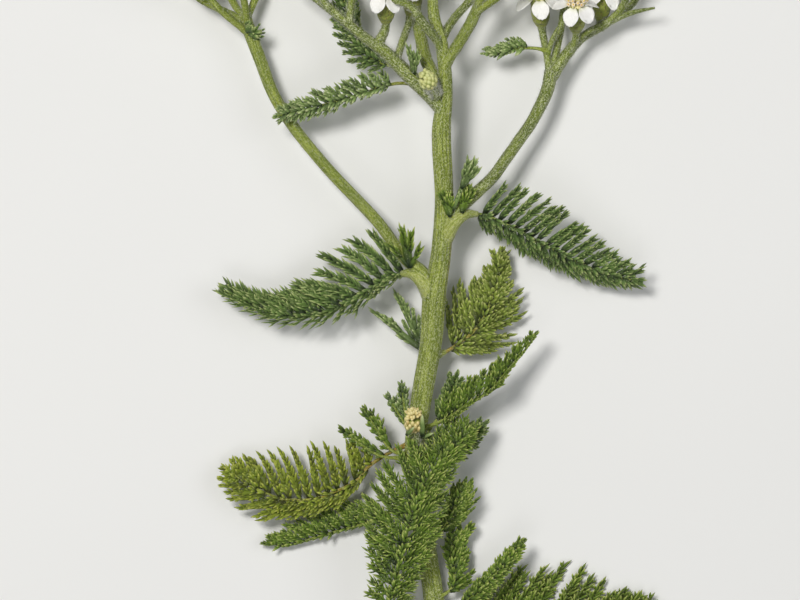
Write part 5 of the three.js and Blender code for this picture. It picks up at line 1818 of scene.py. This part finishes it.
@dataclass(frozen=True)
class Branch:
    """A branch with its arms, flower stalks, cups, bracts and small leaves."""

    name: str
    line: Line
    radii: tuple[float, ...]
    heads: tuple[Head, ...]
    arms: tuple[Arm, ...] = ()
    bracts: tuple[Arm, ...] = ()
    tufts: tuple[Leaf, ...] = ()
    woolliness: float = 0.8
    wool: Wool = Wool()
    cup: Cup = Cup()
    stalk_radius: float = 0.54
    stalk_approach: float = 2.2

    def _limb(self, line: Line, radii: tuple[float, ...], flare: float) -> list[Station]:
        """Returns the cross-sections of a branch or an arm, flared at its foot."""
        spine = Spine(line)

        def radius(share: float) -> float:
            """Gives the radius at a place."""
            swell = flare * math.exp(-((share * spine.length / 1.6) ** 2))
            return along(radii, spine.parameter(share)) * (1.0 + swell)

        return stations_along(spine, radius, max(8, int(spine.length / 0.8)))

    def _stalk(self, head: Head) -> list[Station]:
        """Returns the cross-sections of a flower stalk."""
        centre, facing, _, _ = head.axes()
        foot = centre + facing * (self.cup.top - self.cup.length + 0.15)
        before = foot - facing * self.stalk_approach
        start, via = spot(head.stalk_from), spot(head.via)
        points = []
        for t in np.linspace(0.0, 1.0, 9):
            s = 1.0 - t
            points.append(s**3 * start + 3 * s**2 * t * via + 3 * s * t**2 * before + t**3 * foot)
        spine = Spine(tuple(points))

        def radius(share: float) -> float:
            """Gives the stalk's radius, wider at both ends."""
            flare = 0.3 * math.exp(-((share / 0.12) ** 2)) + 0.2 * math.exp(-(((1 - share) / 0.1) ** 2))
            return self.stalk_radius * (1.0 + (head.girth - 1.0) * (1.0 - share) + flare)

        return stations_along(spine, radius, 22)

    def build(self, workshop: Workshop, seed: int) -> Object:
        """Builds the branch.

        Args:
            workshop: The patterns and the finishes.
            seed: Start of the random numbers.

        Returns:
            The object.
        """
        looks, patterns = workshop.wardrobe, workshop.patterns
        skin = looks.branch if self.woolliness > 0.45 else looks.stem
        finishes = [skin, looks.scale, looks.hair, looks.leaf[Tone.DARK], looks.rib, looks.hair]
        piece = Piece(f"dressed_{self.name}", finishes)
        phase = Random(seed).uniform(0, 6)
        woolly = self.woolliness

        def ribs(x: Array, angle: Array) -> Array:
            """Gives the low ribs and a little unevenness."""
            return 1.0 + 0.05 * np.cos(6 * angle + phase) + 0.025 * np.sin(40 * x + 3 * angle)

        def tone(x: Array, angle: Array) -> Array:
            """Gives blush and wool."""
            return np.stack([0.0 * x, woolly * (0.8 + 0.2 * np.sin(9 * x + angle))], axis=-1)

        limbs = [self._limb(self.line, self.radii, 0.05)]
        limbs += [self._limb(arm.line, arm.radii, 0.15) for arm in self.arms]
        limbs += [self._stalk(head) for head in self.heads]
        limbs += [self._limb(bract.line, bract.radii, 0.2) for bract in self.bracts]
        for index, limb in enumerate(limbs):
            piece.sweep(patterns.rod, limb, 0, ribs, tone)
            piece.stamp(patterns.hair, self.wool.grow(limb, seed + index), 2)
        for index, head in enumerate(self.heads):
            piece.sweep(patterns.rod, self.cup.stations(head), 1)
            piece.stamp(patterns.scale, self.cup.scales(head, seed + 50 + index), 1)
        for tuft in self.tufts:
            tuft.add_to(piece, workshop, 3)
        return piece.build((self.name,), "branches")


BRANCHES: tuple[Branch, ...] = (
    Branch(
        "spray_left",
        (
            (5.4, 1.2, 7.7), (3.4, 4, 8), (0.8, 6.2, 8), (-3.5, 11.9, 7.2), (-9.15, 17.85, 6.4),
            (-14.35, 23.85, 5.7), (-18.5, 29.9, 5.1), (-21, 36, 4.8), (-23.4, 42.6, 4.7),
        ),
        (0.9, 1.05, 0.92, 0.88, 0.86, 0.86, 0.88, 0.94, 1),
        (
            Head((-34, 50.5, 6.2), (-0.55, 0.8, 0.15), (-23.2, 42, 4.7), (-29, 44.6, 4.9)),
            Head((-27.3, 53.6, 3.4), (-0.2, 1, 0.1), (-23.3, 42.2, 4.7), (-26.2, 45.8, 3.8)),
            Head((-20.4, 52.6, 6.2), (0.15, 1, 0.25), (-23.2, 42, 4.7), (-21.6, 45.6, 5)),
            Head((-30.6, 49.6, 12.4), (-0.35, 0.75, 0.6), (-22.6, 40, 4.8), (-26.6, 43, 8.6)),
            Head((-23.8, 53.4, 11.6), (0, 0.95, 0.5), (-22.9, 41, 4.8), (-23.4, 45.6, 8)),
        ),
        woolliness=0.35, wool=Wool(4.0, 0.2, 0.6),
        tufts=(
            Leaf(
                "tuft_left", Tone.DARK, ((-22.9, 39.8, 5.4), (-21.8, 40.4, 6.5), (-21.3, 41.4, 6.9)), 5,
                0.1, 1.1, Side((1.6, 1.7, 1.2), (60, 40), 0.5), Side((1.6, 1.7, 1.2), (60, 40), 0.5), 30,
                (20, 20), 31, crest=3, plan=SMALL,
            ),
        ),
    ),
    Branch(
        "spray_right",
        (
            (6.6, 10, 8.6), (8, 12.9, 9.2), (10.6, 15.3, 9.1), (13.7, 18.2, 8.6), (16.75, 22.4, 7.8),
            (20.05, 27.2, 7), (22.2, 31.8, 6.5), (22.7, 34.4, 6.4),
        ),
        (0.8, 1.0, 0.9, 0.86, 0.84, 0.86, 0.96, 1),
        (
            Head((20.8, 45.3, 8.2), (-0.1, 0.85, 0.5), (22.5, 33.8, 6.4), (22, 38, 6.2), 54),
            Head((26.3, 44.1, 11), (-0.02, 0.8, 0.6), (25.4, 37.2, 6), (26, 38, 6), 26),
            Head((30.6, 46.6, 6.1), (0.1, 0.9, 0.4), (28.6, 40.2, 5.4), (29.4, 40.6, 5), 20),
            Head((37.4, 50.4, 3.25), (0.35, 0.9, 0.1), (30, 40.9, 5.2), (35, 44.6, 3.7)),
            Head((35.4, 52, 11.6), (0.2, 0.9, 0.4), (30.6, 41.3, 5.2), (34, 43.5, 6.4)),
            Head((25.2, 53.2, 5), (0.05, 1, 0.1), (22.7, 34.2, 6.2), (25, 43, 3.4)),
        ),
        arms=(
            Arm(((22.6, 33.4, 6.4), (25.4, 37.4, 5.9), (27.3, 39.4, 5.6), (31, 41.5, 5.2)), (0.9, 0.62)),
        ),
        bracts=(
            Arm(((31, 41.5, 5.2), (34.4, 43, 6.6), (38.2, 43.8, 7.4)), (0.4, 0.4, 0.16)),
            Arm(((26.6, 38.9, 5.8), (27.8, 39.9, 7), (29.2, 40.6, 7.6)), (0.36, 0.36, 0.144)),
            Arm(((22.2, 37.2, 6.2), (22.9, 39.2, 7.4), (23.6, 40.9, 8)), (0.36, 0.36, 0.144)),
        ),
        woolliness=0.75,
    ),
    Branch(
        "spray_upper_left",
        (
            (7, 25.8, 10.1), (5.8, 29, 10.8), (3.6, 31.4, 11.2), (0.8, 34, 11.4), (-2.1, 36.9, 11.6),
            (-5, 39, 11.7), (-9.3, 42.5, 11.7), (-12.9, 45.4, 11.6),
        ),
        (0.6, 1.05, 1.12, 1.08, 0.94, 0.76, 0.68, 0.64),
        (
            Head((-2.1, 45.6, 14.2), (0, 0.85, 0.5), (-3.2, 37.8, 11.6), (-3, 39.6, 11.4), 18, 1.6),
            Head((2.3, 47.2, 9.6), (0.15, 0.95, 0.25), (-0.6, 35.4, 11.5), (0.6, 40, 10), 54),
            Head((-18.4, 53, 11.8), (-0.4, 0.9, 0.1), (-12.4, 45, 11.6), (-15.2, 47.4, 11.6)),
            Head((-12, 54.4, 9), (0, 1, -0.15), (-11.2, 44, 11.5), (-12, 47.6, 10)),
            Head((-13.6, 52.4, 16.2), (-0.1, 0.85, 0.5), (-10.4, 43.4, 11.8), (-12.6, 46, 13)),
            Head((-6.6, 53.6, 14.4), (0, 1, 0.3), (-7.6, 41.2, 11.8), (-7.2, 46, 12.8)),
        ),
        woolliness=1.0, wool=Wool(9.0),
    ),
    Branch(
        "spray_upper_right",
        ((6.1, 32.6, 10.9), (7, 35.6, 11.5), (8.7, 38.2, 11.9), (10.9, 42, 12.1), (12.1, 45, 12.2)),
        (0.6, 0.9, 0.84, 0.84, 0.78),
        (
            Head((16.6, 52.4, 12.4), (0.3, 0.95, 0.1), (11.8, 44.4, 12.1), (14.2, 46.6, 12.2)),
            Head((11.4, 54.6, 13.8), (0.05, 1, 0.2), (11.8, 44.4, 12.2), (11.9, 48, 12.8)),
            Head((16.8, 50.4, 19), (0.25, 0.8, 0.6), (11.2, 42.8, 12.3), (14.4, 45, 15)),
        ),
        woolliness=0.4,
    ),
    Branch(
        "spray_back", ((5.9, 37.4, 11), (6.6, 39.6, 10.6), (8, 42, 8.8), (10.6, 45, 7.2)),
        (0.5, 0.66, 0.66, 0.6), (Head((15, 52, 5), (0.25, 1, -0.1), (10.2, 44.6, 7.3), (12.6, 46.6, 5.9)),),
    ),
    Branch(
        "spray_front", ((6.4, 36, 11.3), (5.7, 38.4, 12.2), (4.4, 40, 13.8), (2.4, 42.6, 15.6)),
        (0.5, 0.7, 0.7, 0.66),
        (Head((-1.8, 49.4, 19.6), (-0.15, 0.85, 0.5), (2.7, 42.3, 15.4), (0.8, 45.2, 16.8)),),
    ),
    Branch(
        "spray_behind", ((6.6, 29.4, 10.4), (5.4, 33, 9.8), (3.9, 36, 8.4), (2.8, 41, 7.2), (2.4, 43, 6.8)),
        (0.6, 0.9, 0.95, 0.9, 0.85),
        (
            Head((3.4, 53, 3.9), (0.1, 1, -0.05), (2.5, 42.6, 6.8), (2.9, 46, 5)),
            Head((-2.6, 52.4, 6.2), (-0.3, 1, 0), (2.5, 42.6, 6.8), (0.2, 46, 6.2)),
        ),
        woolliness=0.4,
    ),
    Branch(
        "spray_crown", ((4.7, 46.9, 12.4), (4.6, 48, 12.5), (4.5, 49.4, 12.6)), (0.6, 0.6, 0.6),
        (
            Head((4, 58.6, 12), (0, 1, 0.05), (4.5, 49, 12.5), (4.2, 52.4, 12.2)),
            Head((-2.6, 57, 10.8), (-0.4, 0.95, 0), (4.5, 48.6, 12.5), (1.2, 51.4, 11.8)),
            Head((-0.8, 56.2, 17.8), (-0.2, 0.9, 0.4), (4.6, 48.6, 12.6), (2.6, 51.2, 14.4)),
            Head((7.2, 56.6, 18.4), (0.15, 0.9, 0.45), (4.6, 48.6, 12.6), (5.8, 51, 15.4)),
        ),
        woolliness=0.5,
    ),
)


@dataclass(frozen=True)
class MainStem:
    """The ribbed main stem, from its cut end into the middle of the flower cluster."""

    course: tuple[Point, ...] = (
        (6.2, -62, 1.5), (5.6, -53, 1.5), (5.1, -45, 1.5), (4.2, -39, 1.46), (2.8, -30, 1.48),
        (2.2, -22.5, 1.5), (3.2, -15, 1.5), (4.7, -6, 1.62), (5.1, 0, 1.7), (6.2, 7.5, 1.45),
        (6.6, 15, 1.35), (6.2, 25.5, 1.4), (6.8, 31.5, 1.0), (6.2, 38.2, 0.94), (5.1, 42, 0.86),
        (4.8, 46, 0.7),
    )
    ribs: int = 15
    rib_depth: float = 0.045
    wool: Wool = Wool(6.0, 0.2, 0.6)
    knuckles: tuple[Arm, ...] = (
        Arm(
            ((5.2, -2.4, 7.1), (4.6, 0.8, 7.6), (3.3, 3, 8.1), (1.7, 4, 7.6), (0.2, 3.9, 6.7)),
            (0.9, 1.5, 1.25, 0.85, 0.46),
        ),
        Arm(
            ((6.1, 6.4, 7.8), (6.9, 9.6, 8.8), (8.2, 11.8, 9.6), (9.8, 12.8, 9.2), (11.6, 12.9, 8.1)),
            (0.8, 1.3, 1.15, 0.8, 0.44),
        ),
        Arm(((3.6, -12.4, 6), (4.2, -9.8, 5.9), (5.4, -8.4, 5.7), (6.8, -7.8, 5.3)), (0.9, 1.2, 0.8, 0.4)),
    )
    tufts: tuple[Fan, ...] = (
        Fan(
            (1.5, 4.8, 9.1), (((0.3, 10.7, 10.4), 0.62), ((1.6, 10.1, 10.3), 0.32),
             ((3.0, 7.7, 10.4), 0.36), ((-1.4, 8.2, 9.8), 0.34)), 32, 0.75,
        ),
        Fan(
            (7.5, 12.4, 10.7), (((5.9, 16.1, 10.9), 0.4), ((6.5, 16.4, 11.1), 0.36),
             ((7.2, 16.0, 11.1), 0.36), ((7.7, 15.4, 11), 0.3)), 33,
        ),
        Fan(
            (9.3, 12.9, 10.2), (((9.1, 16.0, 10.9), 0.36), ((9.8, 16.8, 11.1), 0.36),
             ((10.4, 17.1, 11.1), 0.36), ((11.1, 16.5, 10.8), 0.3)), 34,
        ),
    )

    def build(self, workshop: Workshop) -> Object:
        """Builds the stem.

        Args:
            workshop: The patterns and the finishes.

        Returns:
            The object.
        """
        looks, patterns = workshop.wardrobe, workshop.patterns
        spine = Spine(tuple((x, y, stem_height(y)) for x, y, _ in self.course))
        radii = tuple(radius for _, _, radius in self.course)
        limb = stations_along(spine, lambda share: along(radii, spine.parameter(share)), 150)
        ys = np.array([station.centre[1] for station in limb])
        ribs, depth = self.ribs, self.rib_depth

        def relief(x: Array, angle: Array) -> Array:
            """Gives the ribs, which wander a little."""
            wander = 0.5 * np.sin(7 * x) + 0.3 * np.sin(17 * x + 1)
            return 1.0 + depth * np.cos(ribs * angle + wander) + 0.012 * np.sin(60 * x + 4 * angle)

        def tone(x: Array, angle: Array) -> Array:
            """Gives the blush on the right under the right fork, and the wool: a little more towards the top,
            and as much at the cut end, where the extra wool also paints light on the lower stem that lies in
            the front leaf's shade.
            """
            y = np.interp(x, np.linspace(0, 1, len(ys)), ys)
            right = np.exp(-(((angle - 0.45 * math.pi) / 0.3) ** 2))
            blush = 0.8 * right * np.exp(-(((y - 7.5) / 6.0) ** 2))
            # Below y = -10 the wool share is partly real wool and partly painted light that brightens the
            # shaded lower stem.
            woolly = np.interp(y, [-62, -10, 0, 20, 46], [0.5, 0.5, 0.45, 0.45, 0.5])
            return np.stack([blush, woolly], axis=-1)

        finishes = [looks.stem, looks.leaf[Tone.GREEN], looks.knuckle, looks.hair]
        piece = Piece("dressed_main_stem", finishes)
        piece.sweep(patterns.stem, limb, 0, relief, tone)
        piece.stamp(patterns.hair, self.wool.grow(limb, 7), 3)
        for index, knuckle in enumerate(self.knuckles):
            line = Spine(knuckle.line)
            swelling = stations_along(line, lambda share: along(knuckle.radii, line.parameter(share)), 20)
            piece.sweep(patterns.rod, swelling, 2, None, felted(0.3))
            piece.stamp(patterns.hair, self.wool.grow(swelling, 40 + index), 3)
        for tuft in self.tufts:
            tuft.add_to(piece, workshop, 1)
        return piece.build(("main_stem",), "stem")


@dataclass(frozen=True)
class Bud:
    """A closed flower head on a short woolly stalk.

    bracts holds the foot, the tip and the half width of each leafy bract.
    """

    name: str
    head: Head
    radius: float
    length: float
    bracts: tuple[tuple[Point, Point, float], ...] = ()
    florets: int = 34
    floret_size: float = 0.25
    wool: Wool = Wool(20.0, 0.3, 0.8)
    turned: float = 0.3
    young: bool = False

    def _florets(self, rng: Random) -> list[Copy]:
        """Returns the closed florets, crowded into a dome."""
        centre, facing, across, over = self.head.axes()
        made = []
        for index in range(self.florets):
            share = math.sqrt((index + 0.5) / self.florets)
            angle = index * GOLDEN_ANGLE + rng.uniform(-0.3, 0.3)
            out = swung(across, over, angle)
            tilt = 1.25 * share + rng.uniform(-0.14, 0.14)
            ahead = unit(swung(facing, out, tilt))
            root = centre + ahead * (0.42 * self.radius) + facing * (0.12 * self.length)
            size = self.floret_size * rng.uniform(0.85, 1.25)
            reach = 0.62 * self.radius * rng.uniform(0.75, 1.3)
            side = unit(np.cross(facing, out))
            looks = rng.random(), self.turned * rng.random()
            made.append(Copy(root, ahead, side, reach, size, size, 0, 0, *looks))
        return made

    def build(self, workshop: Workshop, seed: int) -> Object:
        """Builds the bud.

        Args:
            workshop: The patterns and the finishes.
            seed: Start of the random numbers.

        Returns:
            The object.
        """
        rng = Random(seed)
        looks, patterns = workshop.wardrobe, workshop.patterns
        petals = looks.young if self.young else looks.closed
        finishes = [looks.branch, looks.scale, looks.hair, petals, looks.leaf[Tone.GREY]]
        piece = Piece(f"dressed_{self.name}", finishes)
        centre, facing, _, _ = self.head.axes()
        foot = centre - facing * (0.5 * self.length)
        line = (self.head.stalk_from, tuple(foot - facing * 0.6), tuple(foot + facing * 0.4))
        stalk = stations_along(Spine(line), lambda share: 0.7 + 0.15 * share, 14)
        piece.sweep(patterns.rod, stalk, 0, None, felted(1.0))
        piece.stamp(patterns.hair, self.wool.grow(stalk, seed), 2)
        cup = Cup(self.radius, 0.62 * self.length, 0.0, rows=4, per_row=9, scale_length=1.2)
        piece.sweep(patterns.rod, cup.stations(self.head), 1)
        outer = [
            scale._replace(
                length=0.9 * rng.uniform(0.8, 1.2),
                half_width=1.2 * self.floret_size,
                half_height=self.floret_size,
                tint=self.turned * rng.random(),
            )
            for scale in cup.scales(self.head, seed)
        ]
        piece.stamp(patterns.closed_floret, outer + self._florets(rng), 3)
        leafy = [pointing(*bract)._replace(bend=0.06, sway=0.05, chance=0.6) for bract in self.bracts]
        piece.stamp(patterns.scale, leafy, 4)
        return piece.build((self.name,), "buds")


BUDS = (
    Bud(
        "bud_lower", Head((2.1, -17.8, 10), (-0.05, 0.85, 0.55), (2.3, -23.6, 6.6)), 1.45, 3.3,
        (
            ((3.3, -20.4, 10.2), (3.5, -16.9, 11.4), 0.42), ((0.9, -20.2, 11), (2.3, -18.9, 11.9), 0.3),
            ((3.2, -20.6, 9.6), (5.2, -19.9, 10), 0.28),
        ),
        turned=0.3,
    ),
    Bud(
        "bud_upper", Head((4.0, 33, 13.6), (-0.5, 0.8, 0.45), (5.6, 30.2, 12.2)), 1.15, 2.6, (), 16, 0.34,
        Wool(60.0, 0.5, 1.1), 0.1, True,
    ),
)


# ---- studio


@dataclass(frozen=True)
class Lamp:
    """A soft square light."""

    name: str
    at: Point
    size: float
    power: float
    colour: Colour = (1.0, 1.0, 1.0)


@dataclass(frozen=True)
class Studio:
    """The pale table, the soft lights and the camera that looks straight down."""

    table_size: float = 3.0
    camera_height: float = 0.9
    view_width: float = 0.12
    plant_height: float = 0.007
    sensor: float = 36.0
    sky: float = 0.13
    sky_colour: tuple[float, ...] = (0.95, 0.97, 1.0, 1.0)
    lamps: tuple[Lamp, ...] = (
        Lamp("key light", (-0.22, 0.2, 0.8), 0.18, 5.1, (1.0, 0.985, 0.96)),
        Lamp("fill light", (0.5, 0.05, 0.6), 0.5, 1.1, (0.96, 0.98, 1.0)),
        Lamp("low light", (-0.1, -0.4, 0.8), 0.5, 1.2),
    )

    def build(self, wardrobe: Wardrobe) -> None:
        """Builds the table, the lights and the camera.

        Args:
            wardrobe: The finishes.
        """
        Bench.clear()
        bpy.ops.mesh.primitive_plane_add(size=self.table_size)
        table = bpy.context.active_object
        table.name = "table_top"
        table.data.materials.append(wardrobe.table)
        table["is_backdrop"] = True
        for lamp in self.lamps:
            self._light(lamp)
        world = bpy.data.worlds.new("soft studio")
        world.use_nodes = True
        backdrop = world.node_tree.nodes["Background"]
        backdrop.inputs["Color"].default_value = self.sky_colour
        backdrop.inputs["Strength"].default_value = self.sky
        bpy.context.scene.world = world
        self._camera()
        bpy.context.scene.view_settings.view_transform = "Standard"

    def _light(self, lamp: Lamp) -> None:
        """Adds one light that faces the plant."""
        data = bpy.data.lights.new(lamp.name, "AREA")
        data.size = lamp.size
        data.energy = lamp.power
        data.color = lamp.colour
        made = bpy.data.objects.new(lamp.name, data)
        made.location = lamp.at
        x, y, z = lamp.at
        made.rotation_euler = (math.atan2(math.hypot(x, y), z), 0.0, math.atan2(y, x) + math.pi / 2)
        bpy.context.scene.collection.objects.link(made)

    def _camera(self) -> None:
        """Adds the camera, straight above the middle of the drawn frame."""
        data = bpy.data.cameras.new("camera")
        data.sensor_width = self.sensor
        data.lens = self.sensor * (self.camera_height - self.plant_height) / self.view_width
        camera = bpy.data.objects.new("camera", data)
        middle = -FOOTPRINT_CENTRE * METRE
        camera.location = (middle[0], middle[1], self.camera_height)
        bpy.context.scene.collection.objects.link(camera)
        bpy.context.scene.camera = camera


# ---- assembly


def keep_sizes() -> None:
    """Works out the solids' box and the dressed part's box."""
    boxes = {
        name: [[float(value) for value in corner] for corner in box]
        for name, box in (("cad", cad_box), ("visual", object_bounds()))
    }


def main() -> None:
    """Builds the plant, piece by piece, and the studio round it."""
    logging.basicConfig(level=logging.INFO, format="%(name)s: %(message)s")
    workshop = Workshop(Patterns.modelled(), Wardrobe())
    MainStem().build(workshop)
    number = 0
    for index, branch in enumerate(BRANCHES):
        branch.build(workshop, 1000 * (index + 1))
        for head in branch.heads:
            number += 1
            Bloom(number, head).build(workshop)
    for leaf in LEAVES:
        leaf.build(workshop)
    for shoot in SHOOTS:
        shoot.build(workshop)
    for index, bud in enumerate(BUDS):
        bud.build(workshop, 90 + index)
    Studio().build(workshop.wardrobe)
    total = sum(len(item.data.polygons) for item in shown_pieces() if item.type == "MESH")
    log.info("all pieces: %d triangles", total)


if __name__ == "__main__":
    main()
    keep_sizes()
